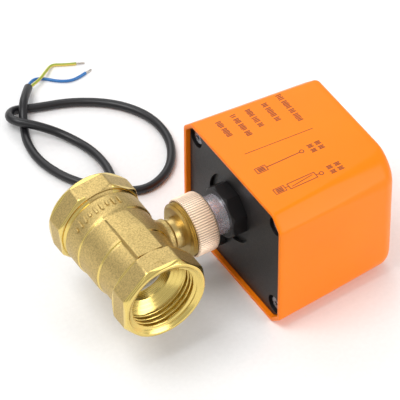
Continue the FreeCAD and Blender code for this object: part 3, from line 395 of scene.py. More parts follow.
def zinc_plate():
    """Bright zinc with a passivated film: cold grey with faint blue and pink patches."""
    material, tree = new_material("passivated_zinc")
    spots = patches(tree, 1.1, 0.4, 0.6, detail=5.0, roughness=0.75)
    film = patches(tree, 3.5, 0.35, 0.65, detail=2.0)
    cold = add_node(tree, "Mix", {"data_type": "RGBA", "Factor": spots,
                                  FIRST: rgba(linear("#CFD6E2")),
                                  SECOND: rgba(linear("#FBFCFF"))})
    warm = add_node(tree, "Mix", {"data_type": "RGBA", "Factor": spots,
                                  FIRST: rgba(linear("#D6CAD4")),
                                  SECOND: rgba(linear("#F2EAF0"))})
    tone = add_node(tree, "Mix", {"data_type": "RGBA", "Factor": film, FIRST: cold[BLEND],
                                  SECOND: warm[BLEND]})
    gloss = add_node(tree, "MapRange", {"Value": spots, "To Min": 0.32, "To Max": 0.16})
    crystals = add_node(tree, "Bump", {"Height": spots, "Strength": 1.0,
                                       "Distance": 0.008 * MM})
    return surfaced(material, {"Metallic": 0.75, "Base Color": tone[BLEND],
                               "Roughness": gloss["Result"], "Normal": crystals["Normal"]})


def polished_chrome():
    """Chrome plated ball: mirror bright with the faintest polishing haze."""
    material, tree = new_material("polished_chrome")
    return surfaced(material, {"Metallic": 1.0, "Base Color": rgba(linear("#D9DADC")),
                               "Roughness": patches(tree, 2.5, 0.3, 0.7, (0.05, 0.12))})


def moulded_plastic(name, tint, rough, grain_mm, depth_mm, gloss=0.4):
    """Injection moulded ABS: even colour with a fine spark-eroded grain."""
    material, tree = new_material(name)
    broad = patches(tree, 25.0, 0.3, 0.7, detail=2.0)
    tone = add_node(tree, "Mix", {"data_type": "RGBA", "Factor": broad,
                                  FIRST: rgba(tint, 0.97), SECOND: rgba(tint, 1.02)})
    grain = add_node(tree, "TexNoise", {
        "Vector": object_place(tree), "Scale": 1 / (grain_mm * MM), "Detail": 2.0,
        "Roughness": 0.55})["Fac"]
    satin = add_node(tree, "MapRange", {"Value": grain, "From Min": 0.3, "From Max": 0.7,
                                        "To Min": rough - 0.04, "To Max": rough + 0.05})
    eroded = add_node(tree, "Bump", {"Height": grain, "Strength": 1.0,
                                     "Distance": depth_mm * MM})
    return surfaced(material, {"IOR": 1.53, "Specular IOR Level": gloss,
                               "Base Color": tone[BLEND], "Roughness": satin["Result"],
                               "Normal": eroded["Normal"]})


def soft_pvc(name, tint, rough):
    """Extruded PVC: satin, with faint streaks along the extrusion."""
    material, tree = new_material(name)
    along = add_node(tree, "TexCoord", {})["UV"]
    # Six patches over the length and fourteen round the section.
    stretch = add_node(tree, "Mapping", {"Vector": along, "Scale": (6.0, 14.0, 1.0)})
    noise = add_node(tree, "TexNoise", {"Vector": stretch["Vector"], "Scale": 1.0,
                                        "Detail": 3.0})
    streaks = add_node(tree, "MapRange", {"Value": noise["Fac"], "From Min": 0.3,
                                          "From Max": 0.7})["Result"]
    tone = add_node(tree, "Mix", {"data_type": "RGBA", "Factor": streaks,
                                  FIRST: rgba(tint, 0.85), SECOND: rgba(tint, 1.15)})
    satin = add_node(tree, "MapRange", {"Value": streaks, "To Min": rough - 0.05,
                                        "To Max": rough + 0.07})
    return surfaced(material, {"IOR": 1.5, "Base Color": tone[BLEND],
                               "Roughness": satin["Result"]})


def striped_pvc():
    """Yellow insulation with two green stripes along it.

    The way round the section is folded twice, and a stripe shows where it is folded high.
    """
    material, tree = new_material("striped_pvc")
    part = add_node(tree, "SeparateXYZ", {"Vector": add_node(tree, "TexCoord", {})["UV"]})
    fold = add_node(tree, "Math", {"operation": "PINGPONG", 0: part["Y"], 1: 0.25})
    stripe = add_node(tree, "MapRange", {"Value": fold["Value"], "From Min": 0.14,
                                         "From Max": 0.155})
    tone = add_node(tree, "Mix", {"data_type": "RGBA", "Factor": stripe["Result"],
                                  FIRST: rgba(colours().yellow),
                                  SECOND: rgba(colours().green)})
    return surfaced(material, {"IOR": 1.5, "Roughness": 0.35, "Base Color": tone[BLEND]})


def rolled_steel(name, tint, rough):
    """Plain rolled or drawn steel: grey, with a directionless mill haze."""
    material, tree = new_material(name)
    haze = patches(tree, 1.5, 0.3, 0.7, detail=5.0, roughness=0.7)
    tone = add_node(tree, "Mix", {"data_type": "RGBA", "Factor": haze,
                                  FIRST: rgba(tint, 0.85), SECOND: rgba(tint)})
    gloss = add_node(tree, "MapRange", {"Value": haze, "To Min": rough, "To Max": rough + 0.14})
    return surfaced(material, {"Metallic": 1.0, "Base Color": tone[BLEND],
                               "Roughness": gloss["Result"]})


def tinned_copper():
    """Fine tinned copper strands twisted together: pale silver, with painted shade for the gaps
    between them.
    """
    material, tree = new_material("tinned_copper_strands")
    # Painted shade: random darker grey patches stand in for the shade in the gaps between the
    # strands.
    tone = add_node(tree, "Mix", {"data_type": "RGBA", "Factor": patches(tree, 0.3, 0.35, 0.65),
                                  FIRST: rgba(linear("#9C948C")),
                                  SECOND: rgba(linear("#E8E2DA"))})
    return surfaced(material, {"Metallic": 1.0, "Roughness": 0.3, "Base Color": tone[BLEND]})


def circuit_lacquer():
    """Glass-epoxy board under green lacquer, with paler tracks showing through."""
    material, tree = new_material("lacquered_board")
    cells = add_node(tree, "TexVoronoi", {
        "feature": "DISTANCE_TO_EDGE", "distance": "MANHATTAN", "Scale": 1 / (4 * MM),
        "Vector": object_place(tree)})
    tracks = add_node(tree, "MapRange", {"Value": cells["Distance"], "From Min": 0.06,
                                         "From Max": 0.09, "To Min": 1.0, "To Max": 0.0})
    tone = add_node(tree, "Mix", {"data_type": "RGBA", "Factor": tracks["Result"],
                                  FIRST: rgba(linear("#0E5A2C")),
                                  SECOND: rgba(linear("#2E8A4C"))})
    raised = add_node(tree, "Bump", {"Height": tracks["Result"], "Strength": 1.0,
                                     "Distance": 0.03 * MM})
    return surfaced(material, {"IOR": 1.5, "Roughness": 0.3, "Base Color": tone[BLEND],
                               "Normal": raised["Normal"]})


def printed_ink():
    """Pad printed ink on the cover: thin, dull, a little worn."""
    material, tree = new_material("pad_printed_ink")
    tint = colours().print
    tone = add_node(tree, "Mix", {
        "data_type": "RGBA", "Factor": patches(tree, 0.8, 0.35, 0.7, detail=4.0),
        FIRST: rgba(tint), SECOND: rgba(tint, 1.6)})
    return surfaced(material, {"IOR": 1.5, "Roughness": 0.55, "Base Color": tone[BLEND]})


def matte_paper():
    """White backing paper: quite dull, with the faintest fibres."""
    material, tree = new_material("matte_paper")
    tone = add_node(tree, "Mix", {"data_type": "RGBA", "Factor": patches(tree, 2.0, 0.3, 0.7),
                                  FIRST: rgba(linear("#F4F4F4")),
                                  SECOND: rgba(linear("#F8F8F8"))})
    return surfaced(material, {"Roughness": 0.9, "Base Color": tone[BLEND]})


MADE = {}


def finish_named(name):
    """Each finish is made once and shared."""
    makers = {
        "cast": tumbled_cast_brass,
        "turned_stem": lambda: turned_brass("dull_turned_brass", "X", colours().brass, 0.3),
        "turned_pipe": lambda: turned_brass("bright_turned_brass", "Y",
                                            colours().bright_brass, 0.2),
        "nut": copper_plate,
        "zinc": zinc_plate,
        "chrome": polished_chrome,
        "cover": lambda: moulded_plastic("orange_abs", colours().cover, 0.36, 0.5, 0.006, 0.22),
        "plate": lambda: moulded_plastic("black_abs", colours().plate, 0.42, 0.6, 0.02),
        "black_screw": lambda: rolled_steel("blackened_steel", linear("#A2A2A8"), 0.16),
        "gland": lambda: moulded_plastic("black_nitrile", linear("#141414"), 0.5, 0.8, 0.02),
        "steel": lambda: rolled_steel("rolled_steel", linear("#B9BBBE"), 0.28),
        "gear": lambda: turned_brass("hobbed_brass", "X", colours().bright_brass, 0.22),
        "white": lambda: moulded_plastic("white_acetal", linear("#E4E2DA"), 0.38, 0.7, 0.01),
        "seat": lambda: moulded_plastic("white_ptfe", linear("#ECECE6"), 0.3, 1.2, 0.005),
        "black": lambda: moulded_plastic("black_nylon", linear("#1B1B1D"), 0.4, 0.5, 0.015),
        "yellow_box": lambda: moulded_plastic("yellow_epoxy", linear("#D9B23C"), 0.25, 1.0, 0.01),
        "green_box": lambda: moulded_plastic("green_nylon", linear("#2C8A4A"), 0.4, 0.6, 0.015),
        "board": circuit_lacquer,
        "sheath": lambda: soft_pvc("black_pvc", colours().sheath, 0.36),
        "blue": lambda: soft_pvc("blue_pvc", colours().blue, 0.34),
        "striped": striped_pvc,
        "strands": tinned_copper,
        "print": printed_ink,
    }
    if name not in MADE:
        MADE[name] = makers[name]()
    return MADE[name]


NODE_FINISHES = {
    "ball": "chrome", "seat_near": "seat", "seat_far": "seat", "stem": "turned_stem",
    "stem_o_rings": "gland", "thrust_washer": "white", "bonnet": "turned_stem",
    "slip_ring": "white", "mounting_sleeve": "zinc", "sleeve_lock_nut": "zinc",
    "base_plate": "plate", "cover_screws": "black_screw", "gear_plate": "steel",
    "rear_plate": "steel", "standoffs": "steel", "frame_pillars": "steel",
    "rear_plate_screws": "steel", "motor": "steel", "motor_screws": "steel",
    "output_gear": "gear", "idler_gear": "gear", "motor_pinion": "gear",
    "idler_axle": "steel", "output_shaft": "steel", "cam": "white", "cam_screw": "steel",
    "switch_lower": "black", "switch_upper": "black", "lever_lower": "steel",
    "lever_upper": "steel", "switch_screws": "steel", "circuit_board": "board",
    "board_brackets": "steel", "capacitor": "yellow_box", "terminal_block": "green_box",
}


class VALVE_OT_frame_finishes(bpy.types.Operator):
    """Give every carried-over piece of the frame its finish"""

    bl_idname = "valve.frame_finishes"
    bl_label = "Frame finishes"

    def execute(self, context):
        for node, name in NODE_FINISHES.items():
            item = frame["nodes"][node]
            item.data.materials.clear()
            item.data.materials.append(finish_named(name))
        return {"FINISHED"}


# ----------------------------------------------------------------- brass body


def octagon_radius(angle, turn):
    """Distance from the axis to an octagon at an angle, its corners softened.

    It is the distance to a flat over the cosine of the angle from that flat's middle.
    """
    flat = sizes().across_flats / 2
    off = (angle - math.radians(turn) + math.pi / 8) % (math.pi / 4) - math.pi / 8
    sharp = flat / np.cos(off)
    corner = flat / math.cos(math.pi / 8)
    return soft_min(sharp, corner - 0.12, 0.12)


def soft_min(first, second, width):
    """Smaller of two values with a rounded join about width wide.

    Their mean, less half the root of their gap squared plus the width squared.
    """
    gap = first - second
    return (first + second - np.sqrt(gap * gap + width * width)) / 2 + width / 2


def soft_max(first, second, width):
    """Larger of two values with the same rounded join."""
    return -soft_min(-first, -second, width)


def pad_radius(angle):
    """Distance from the axis to the flat pad on top of the body.

    It is the pad's height over the sine of the angle, or its half width over the cosine
    where that is nearer.
    """
    up, across = np.sin(angle), np.abs(np.cos(angle))
    to_top = PAD_HEIGHT / np.maximum(up, 0.05)
    to_side = PAD_HALF_WIDTH / np.maximum(across, 0.05)
    return np.where(up > 0.05, soft_min(to_top, to_side, 0.5), 0.0)


def casting(stations, turn):
    """Radius over a grid of stations and angles.

    A station is (along, radius, octagon share, pad share). Its radius is the band's;
    with an octagon share of 1 it instead caps the octagon, which turns its corners.
    """
    stations = np.asarray(stations, dtype=float)
    angle = np.linspace(0, 2 * math.pi, 480, endpoint=False)[None, :]
    along, radius, octagon_share, pad_share = (stations[:, k : k + 1] for k in range(4))
    capped = soft_min(octagon_radius(angle, turn) + 0 * radius, radius, 0.15)
    band = soft_max(radius + 0 * angle, pad_share * pad_radius(angle), 0.3)
    shaped = octagon_share * capped + (1 - octagon_share) * band
    return along, shaped, angle


def octagon_stations(face, back):
    """Stations over an octagon from its port face to its back.

    A cone turns down the corners at both ends, so each end looks almost round.
    """
    size = sizes()
    corner = size.across_flats / 2 / math.cos(math.pi / 8)
    low = corner - size.turned_edge
    inward = 1.0 if back > face else -1.0
    lip = [(0.0, low - 0.4), (0.1, low - 0.15), (0.3, low + 0.05)]
    front = lip + [(0.3 + 1.9 * t, low + 0.05 + 1.6 * t) for t in (0.25, 0.5, 0.75, 1.0)]
    rear = [(0.0, low - 0.12), (0.12, low), (0.3, low + 0.05)]
    rear += [(0.3 + 1.3 * t, low + 0.05 + 1.6 * t) for t in (0.25, 0.5, 0.75, 1.0)]
    rows = [(face + reach * inward, radius) for reach, radius in front]
    rows += [(face + t * (back - face), corner + 0.5) for t in (0.35, 0.5, 0.65)]
    rows += [(back - reach * inward, radius) for reach, radius in reversed(rear)]
    return [(along, radius, 1.0, 0.0) for along, radius in rows]


def port_stations(face, sign):
    """Bore of a port from the waterway out to its mouth, as (along, radius, thread)."""
    size = sizes()
    major, end = size.thread_radius, face - sign * 11.0
    rows = [(end - sign * 5.9, WATERWAY, 0.0), (end - sign * 3.3, WATERWAY, 0.0),
            (end - sign * 3.0, 11.3, 0.0), (end - sign * 0.3, major - 0.2, 0.0)]
    rows += [(end + sign * t, major, min(1.0, t / 1.2) * min(1.0, (10.2 - t) / 1.0))
             for t in np.linspace(0.0, 9.6, 76)]
    rows += [(face - sign * 1.3, major + 0.1, 0.0), (face - sign * 0.1, major + 1.3, 0.0),
             (face, major + 1.45, 0.0)]
    return np.array(rows)


def bore_grid(rows, angle):
    """Radius of the bore: the thread is a helix.

    The turns gone along the pitch, less those gone round, repeat from 0 to 1. A triangle
    wave of that, clipped and eased, is the ridge that stands in from the bore.
    """
    size = sizes()
    along, radius, share = rows[:, :1], rows[:, 1:2], rows[:, 2:3]
    turn = (along / size.thread_pitch - angle / (2 * math.pi)) % 1.0
    ridge = 1 - np.abs(2 * turn - 1)
    ridge = np.clip((ridge - 0.12) / 0.72, 0, 1)
    ridge = ridge * ridge * (3 - 2 * ridge)
    return radius - share * size.thread_depth * ridge


def band_rows(profile, rounding, pad_until=None):
    """Round bands as stations, corners filleted; the pad runs to pad_until."""
    outline = rounded(profile, rounding, closed=False)
    rows = []
    for along, radius in outline:
        share = 0.0
        if pad_until is not None:
            share = float(np.clip((pad_until - along) / 1.0, 0, 1))
        rows.append((along, radius, 0.0, share))
    return rows


def turned_faces(stations, count, face, angle):
    """Faces left bright by the lathe: the port, its face and the shoulders of the bands.

    The shoulders stop at the flat pad, which stands above them.
    """
    bright = np.zeros(count, dtype=bool)
    along = np.array([abs(station[0]) for station in stations])
    radius = np.array([station[1] for station in stations])
    slope = np.abs(np.diff(radius)) > 0.5 * np.abs(np.diff(along))
    bright[: len(slope)] = slope & (along[:-1] < abs(face) - 9.0) & (radius[:-1] > 17.3)
    beside = (np.abs(np.cos(angle)) * WIDE_BAND > PAD_HALF_WIDTH + 0.3) | (np.sin(angle) < 0)
    faces = bright[:, None] & beside
    faces[:6] = True
    faces[len(stations):] = True
    return faces


class VALVE_OT_body(bpy.types.Operator):
    """Cast brass body: octagon, stepped bands, top pad, stem boss and threaded port"""

    bl_idname = "valve.body"
    bl_label = "Valve body"

    def execute(self, context):
        size = sizes()
        face, back = -size.port_face, -size.port_face + size.near_octagon
        stations = octagon_stations(face, back)
        stations += band_rows([
            (back + 0.02, 18.2), (back + 0.9, NARROW_BAND), (-6.9, NARROW_BAND),
            (-5.6, MIDDLE_BAND), (8.0, MIDDLE_BAND), (9.2, WIDE_BAND), (18.7, WIDE_BAND),
            (19.5, 18.2), (19.5, SPIGOT),
        ], 0.7, pad_until=6.4)
        along, radius, angle = casting(stations, 0.0)
        outside = turned_grid(along, radius, angle, "pipe")
        inside = np.array([(19.5, SPIGOT), (10.5, SPIGOT), (10.5, CAVITY), (-12.6, CAVITY),
                           (-12.6, WATERWAY)])
        bore = turned_grid(inside[:, :1], inside[:, 1:2], angle, "pipe")
        rows = port_stations(face, -1.0)
        port = turned_grid(rows[:, :1], bore_grid(rows, angle), angle, "pipe")
        shell = np.concatenate([outside, bore, port])
        turned = turned_faces(stations, len(shell), face, angle)
        boss = lathe(rounded([
            (13.0, 4.6), (13.0, 11.6), (15.2, 10.4), (16.6, 9.0), (18.2, 8.0), (20.2, 8.0),
            (20.7, 7.5), (20.7, 4.6)], 0.8), "stem", 128)
        body = piece("cast_body", [(shell, True, True), boss], "housing",
                     finish_named("cast"), finish_named("turned_pipe"), slot="cast_brass",
                     second=turned)
        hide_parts("valve_body")
        return {"FINISHED"}


class VALVE_OT_end_cap(bpy.types.Operator):
    """Cast brass end cap with the far octagon, screwed in a little further round"""

    bl_idname = "valve.end_cap"
    bl_label = "End cap"

    def execute(self, context):
        size = sizes()
        face, back = size.port_face, size.port_face - size.far_octagon
        stations = octagon_stations(face, back)
        stations += band_rows([(back - 0.02, 18.8), (back - 0.8, 18.2), (19.5, 17.6),
                               (19.5, SPIGOT), (10.5, SPIGOT), (10.5, CAVITY),
                               (12.6, CAVITY)], 0.4)
        along, radius, angle = casting(stations, 6.0)
        outside = turned_grid(along, radius, angle, "pipe")
        rows = port_stations(face, 1.0)
        port = turned_grid(rows[:, :1], bore_grid(rows, angle), angle, "pipe")
        shell = np.concatenate([outside, port])
        cap = piece("cast_end_cap", [(shell, True, True)], "housing", finish_named("cast"),
                    finish_named("turned_pipe"), slot="cast_brass",
                    second=turned_faces(stations, len(shell), face, angle))
        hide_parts("end_cap")
        return {"FINISHED"}


def pillow(centre, half, radial_lift, band_radius):
    """A low rounded bar on a band: a superellipse in plan with a domed top.

    centre is (along, angle in degrees); half is its half size along and around in mm.
    """
    u = np.linspace(0, 2 * math.pi, 28, endpoint=False)[None, :]
    v = np.linspace(0, 1, 8)[:, None]
    power = 0.5
    east = np.sign(np.cos(u)) * np.abs(np.cos(u)) ** power
    north = np.sign(np.sin(u)) * np.abs(np.sin(u)) ** power
    spread = np.sin(v * math.pi / 2) ** 0.5
    lift = radial_lift * (np.cos(v * math.pi / 2) ** 0.6) - 0.3 * (v > 0.999)
    along = centre[0] + half[0] * east * spread
    angle = math.radians(centre[1]) + half[1] * north * spread / band_radius
    return turned_grid(along, band_radius + lift, angle, "pipe")


def closed_pillow(*values):
    """A pillow with a flat underside, so that it is a closed form."""
    top = pillow(*values)
    middle = top[-1:].mean(axis=1, keepdims=True).repeat(top.shape[1], axis=1)
    return np.concatenate([top, middle]), False, True


class VALVE_OT_cast_marks(bpy.types.Operator):
    """Plain raised marks cast on the wide band, and a flow arrow on the octagon"""

    bl_idname = "valve.cast_marks"
    bl_label = "Cast marks"

    def execute(self, context):
        marks = []
        for number in range(9):
            tall = 2.1 if number % 3 else 1.3
            marks.append(closed_pillow((14.2, 146 - number * 9.0), (tall, 0.75), 0.6, WIDE_BAND))
        flat = sizes().across_flats / 2
        marks.append(closed_pillow((-26.6, 93.0), (0.5, 2.2), 0.4, flat))
        marks.append(closed_pillow((-27.6, 87.0), (1.4, 0.5), 0.4, flat))
        piece("cast_marks", marks, "housing", finish_named("cast"), sharp=60,
              slot="cast_brass")
        return {"FINISHED"}


# -------------------------------------------------------------- coupling nut


class VALVE_OT_coupling_nut(bpy.types.Operator):
    """Copper coloured coupling nut; its knurl is a cosine wave of the angle, eased to ribs"""

    bl_idname = "valve.coupling_nut"
    bl_label = "Coupling nut"

    def execute(self, context):
        start, end = span("coupling_nut", 0)
        outer = rounded([
            (start, 12.6), (start, 12.9), (start + 0.6, NUT_RADIUS), (end - 1.3, NUT_RADIUS),
            (end, 12.2), (end, 9.3), (end - 3.0, 9.3), (end - 3.0, 12.6)], 0.35, 4)
        on_rim = (outer[:, 1] > NUT_RADIUS - 0.2).astype(float)[:, None]
        angle = np.linspace(0, 2 * math.pi, sizes().knurl_ribs * 8, endpoint=False)[None, :]
        wave = 0.5 + 0.5 * np.cos(angle * sizes().knurl_ribs)
        rib = wave * wave * (3 - 2 * wave)
        radius = outer[:, 1:] - sizes().knurl_depth * on_rim * (1 - rib)
        grid = turned_grid(outer[:, :1], radius, angle, "stem")
        nut = piece("knurled_nut", [(grid, True, True)], "nut", finish_named("nut"),
                    sharp=50, slot="copper_plate")
        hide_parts("coupling_nut")
        return {"FINISHED"}


# ------------------------------------------------------------------- actuator


def cover_outline(half_w, half_h, corner, radius, near, soft, middle):
    """Rectangle with chamfered corners, each of its eight points rounded.

    Points are (along the pipe, height), anticlockwise, the same count for any size.
    The near side stands in by a further near, and its edges are soft times rounder.
    """
    x = np.array([1, 1, 1, 1, -1, -1, -1, -1]) * half_w
    x = x + np.array([0, 0, 0, 0, 1, 1, 1, 1]) * near
    z = np.array([-1, -1, 1, 1, 1, 1, -1, -1]) * half_h
    x = x - np.array([corner, 0, 0, corner, -corner, 0, 0, -corner])
    z = z + np.array([0, corner, -corner, 0, 0, -corner, corner, 0])
    edge = radius * np.array([1, 1, 1, 1, soft, soft, soft, soft]).reshape(-1, 1)
    curve = rounded(np.stack([x, z], axis=1), edge, 7)
    after = np.roll(curve, -1, axis=0)
    t = np.array([0.0, 0.5]).reshape(1, -1, 1)
    dense = (curve[:, None] * (1 - t) + after[:, None] * t).reshape(-1, 2)
    return dense + np.array(middle)


def cover_rings(stations, middle):
    """Stations are (x, half width, half height, corner, edge radius, near side in, soft)."""
    rings = []
    for x, *shape in stations:
        outline = cover_outline(*shape, middle)
        rings.append(np.column_stack([np.full(len(outline), x), outline]))
    return np.array(rings)


def cover_station(x, inset, radius, near=0.0):
    """Cover outline at x, drawn in by inset; the sides lean in towards the back."""
    rim, back = span("cover", 0)
    low_y, high_y = span("cover", 1)
    low_z, high_z = span("cover", 2)
    way = (x - rim) / (back - rim)
    corner = COVER_CORNER + COVER_CORNER_GROWTH * way - CHAMFER_SHIFT * inset
    return (x, (high_y - low_y) / 2 - COVER_LEAN * way - inset, (high_z - low_z) / 2 - inset,
            corner, radius, near, 1 + 3.5 * max(way, 0) ** 3)


def arc_inset(x, back, radius):
    """How far a quarter circle of the given radius has come in from the side at x."""
    past = min(max((x - back) / radius + 1, 0.0), 1.0)
    return radius * (1 - math.sqrt(1 - past * past))


def back_rounding(back, radius, side, inset, edge, steps=17):
    """Stations round the back edges; the near side turns in on the larger radius side."""
    rows = []
    for t in np.linspace(0, math.pi / 2, steps):
        x = back - side + side * math.sin(t)
        small = arc_inset(x, back, radius)
        rows.append(cover_station(x, inset + small, edge, arc_inset(x, back, side) - small))
    return rows


def back_face(back, inset, edge, near):
    """Stations that close the back face towards its middle."""
    rows = []
    for share in (0.25, 0.5, 0.75, 1.0):
        station = np.array(cover_station(back, inset, edge, near))
        station[1:3] = station[1:3] * (1 - share) + 1e-3
        station[3:6] = station[3:6] * (1 - share) + 1e-5
        rows.append(tuple(station))
    return rows


class VALVE_OT_cover(bpy.types.Operator):
    """Moulded orange cover: a tapered box with chamfered edges and a rounded back"""

    bl_idname = "valve.cover"
    bl_label = "Cover"

    def execute(self, context):
        size = sizes()
        rim, back = span("cover", 0)
        wall, edge, radius = size.cover_wall, size.cover_edge, size.cover_back
        middle = [sum(span("cover", axis)) / 2 for axis in (1, 2)]
        side = size.cover_side
        inner_back = back - wall
        inside = back_face(inner_back, radius, edge, side - radius)[::-1]
        inside += back_rounding(inner_back, radius - wall, side - wall, wall, edge)[::-1]
        inside += [cover_station(rim + x, wall, edge) for x in (30, 10, 2.0, 0.5)]
        lip = [(rim + 0.16, wall - 0.1), (rim, wall - 0.45), (rim, 0.6), (rim + 0.14, 0.2),
               (rim + 0.5, 0.02)]
        edge_rows = [cover_station(x, inset, edge) for x, inset in lip]
        outside = [cover_station(rim + x, 0.0, edge) for x in (2, 12, 30)]
        outside += back_rounding(back, radius, side, 0.0, edge)
        outside += back_face(back, radius, edge, side - radius)
        rings = cover_rings(inside + edge_rows + outside, middle)
        cover = piece("moulded_cover", [(rings, False, True)], "housing",
                      finish_named("cover"), sharp=35, slot="orange_plastic")
        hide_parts("cover")
        return {"FINISHED"}


def printed_bar(start, end, width, top):
    """A thin flat bar on the cover's top between two (x, y) places."""
    start, end = np.array(start, dtype=float), np.array(end, dtype=float)
    along = (end - start) / np.linalg.norm(end - start)
    side = np.array([-along[1], along[0]]) * width / 2
    ring = np.array([start - side, end - side, end + side, start + side])
    return prism_rows(ring, top)


def prism_rows(ring, top):
    """A flat outline raised a little above the top face and closed at both ends."""
    middle = np.repeat(ring.mean(axis=0, keepdims=True), len(ring), axis=0)
    low, high = top - PRINT_SINK, top + PRINT_HEIGHT
    layers = [(middle, low), (ring, low), (ring, high), (middle, high)]
    rows = [np.column_stack([flat, np.full(len(ring), height)]) for flat, height in layers]
    return np.array(rows), False, True


def printed_ring(centre, radius, width, top):
    """A thin flat ring on the cover's top."""
    angle = np.linspace(0, 2 * math.pi, 40, endpoint=False)
    rows = []
    inner, outer = radius - width / 2, radius + width / 2
    low, high = top - PRINT_SINK, top + PRINT_HEIGHT
    for r, height in ((inner, low), (inner, high), (outer, high), (outer, low)):
        rows.append(np.column_stack([centre[0] + r * np.cos(angle),
                                     centre[1] + r * np.sin(angle),
                                     np.full(40, height)]))
    return np.array(rows), True, True


def printed_box(low, high, width, top):
    """Four bars round a rectangle."""
    (x0, y0), (x1, y1) = low, high
    half = width / 2
    return [printed_bar((x0 - half, y0), (x1 + half, y0), width, top),
            printed_bar((x0 - half, y1), (x1 + half, y1), width, top),
            printed_bar((x0, y0 + half), (x0, y1 - half), width, top),
            printed_bar((x1, y0 + half), (x1, y1 - half), width, top)]


def printed_line(x, start, end, blocks, top):
    """Groups of plain upright strokes, so that the line reads as no letters."""
    pitch, gap = 0.85, 0.8
    room = abs(end - start) - gap * (len(blocks) - 1)
    share = room / sum(blocks)
    parts, place = [], start
    for block in blocks:
        count = max(2, round(share * block / pitch))
        for number in range(count):
            tall = 2.7 if number % 3 != 1 else 2.1
            y = place - share * block * (number + 0.5) / count
            parts.append(printed_bar((x - tall / 2, y), (x + tall / 2, y), 0.52, top))
        place -= share * block + gap
    return parts


class VALVE_OT_print(bpy.types.Operator):
    """Printed marks on top: a plain wiring sketch and blocks in place of words"""

    bl_idname = "valve.print"
    bl_label = "Printed marks"

    def execute(self, context):
        top = span("cover", 2)[1]
        parts = [printed_bar((59.0, 0.0), (92.0, -2.0), 0.3, top)]
        for y in (-11.5, -26.0):
            parts += printed_box((57.5, y - 1.6), (62.6, y + 1.6), 0.35, top)
            for step in (-0.8, 0.0, 0.8):
                parts.append(printed_bar((58.4, y + step), (61.7, y + step), 0.6, top))
        parts.append(printed_bar((62.8, -11.5), (79.5, -11.4), 0.45, top))
        parts.append(printed_ring((80.4, -11.4), 0.9, 0.4, top))
        parts.append(printed_bar((62.8, -26.0), (64.4, -26.1), 0.35, top))
        parts += printed_box((64.4, -27.9), (77.8, -24.6), 0.4, top)
        parts.append(printed_bar((65.5, -26.9), (76.6, -25.5), 0.35, top))
        parts.append(printed_bar((78.0, -26.4), (79.4, -26.7), 0.35, top))
        parts.append(printed_ring((80.3, -26.8), 0.9, 0.4, top))
        for y in (-9.4, -24.4):
            for x in (85.2, 89.0):
                parts += printed_line(x, y, y - 5.2, (1, 1), top)
        lines = [(59.7, 22.9, 12.4, (3, 4)), (67.2, 23.3, 8.4, (2, 3, 4, 3)),
                 (74.4, 22.6, 10.4, (4, 3, 2)), (82.4, 22.1, 9.6, (2, 5, 2)),
                 (90.5, 23.4, 4.6, (3, 4, 2, 4))]
        for x, start, end, blocks in lines:
            parts += printed_line(x, start, end, blocks, top)
        piece("cover_print", parts, "housing", finish_named("print"), slot="orange_plastic")
        return {"FINISHED"}


class VALVE_OT_gland(bpy.types.Operator):
    """Rubber cable gland: a flange, a tapered nose and soft edges"""

    bl_idname = "valve.gland"
    bl_label = "Cable gland"

    def execute(self, context):
        (x0, x1), (y0, y1), (z0, z1) = (span("cable_gland", axis) for axis in range(3))
        hole, radius = sizes().cable / 2, (y1 - y0) / 2
        profile = rounded([
            (x0, hole), (x0, radius * 0.55), (x0 + 2.9, radius * 0.68), (x0 + 2.9, radius * 0.96),
            (x0 + 6.5, radius), (x0 + 6.5, 4.0), (x1 - 1.6, 4.0), (x1 - 1.6, 4.9), (x1, 4.9),
            (x1, hole)], 0.5)
        grid, wrap_rows, wrap_columns = lathe(profile, "stem", 64)
        grid = grid + np.array([0, (y0 + y1) / 2, (z0 + z1) / 2])
        gland = piece("rubber_gland", [(grid, wrap_rows, wrap_columns)], "housing",
                      finish_named("gland"), slot="seal_rubber")
        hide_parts("cable_gland")
        return {"FINISHED"}


# ---------------------------------------------------------------------- cable

SHEATH_ROUTE = [
    (45, 8, -21.5), (24, 9, -24.5), (19, 31, -28.5), (26, 50, -29.6), (35, 72, -30.2),
    (37.5, 91, -34.4), (32, 106.5, -34.2), (23, 115.5, -30.8), (12.5, 124.5, -29.4),
    (18.2, 133.9, -33.6), (29, 130, -34.45), (46, 124.5, -34.45), (62, 113, -34.45),
    (71, 97, -34.45), (70.5, 79, -34.45), (61, 64, -34.45), (47, 58, -34.45),
    (36, 62, -34.45), (20, 79, -34.45), (13.5, 97, -34.45), (14.2, 111, -34.45),
    (18.5, 122, -34.45), (22.5, 129.3, -29.9), (26.5, 134.5, -29.7), (32.5, 142, -33.2),
]
BLUE_ROUTE = [
    (32.2, 142.4, -33.6), (36.5, 147, -35), (41.5, 147.3, -35.75), (48.5, 139.8, -35.75),
    (55, 137.3, -35.75), (61, 139, -35.75),
]
BLUE_STRANDS = [(61, 139, -35.75), (62.7, 139.1, -35.8), (64.4, 139.9, -36)]
EARTH_ROUTE = [
    (33, 141.6, -33), (39, 143.5, -33.3), (45.5, 148, -33.9), (50.5, 152, -35.75),
    (55.5, 148.8, -35.75), (60.5, 146.6, -35.75),
]
EARTH_STRANDS = [(60.5, 146.6, -35.75), (62.3, 146, -35.8), (64, 145.2, -36)]


def cord_curve(name, route, diameter, material):
    """An open NURBS curve of order 3 through its end points, with a round section."""
    data = bpy.data.curves.new(name, "CURVE")
    data.dimensions = "3D"
    data.resolution_u = 10
    data.bevel_depth = diameter / 2 * MM
    data.bevel_resolution = 6
    data.use_fill_caps = True
    points = np.array(route, dtype=float) * MM + BALL
    spline = data.splines.new("NURBS")
    spline.points.add(len(points) - 1)
    spline.points.foreach_set("co", np.column_stack([points, np.ones(len(points))]).ravel())
    spline.order_u = 3
    spline.use_endpoint_u = True
    data.materials.append(material)
    item = bpy.data.objects.new(name, data)
    bpy.context.scene.collection.objects.link(item)
    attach(item, "housing")
    return item


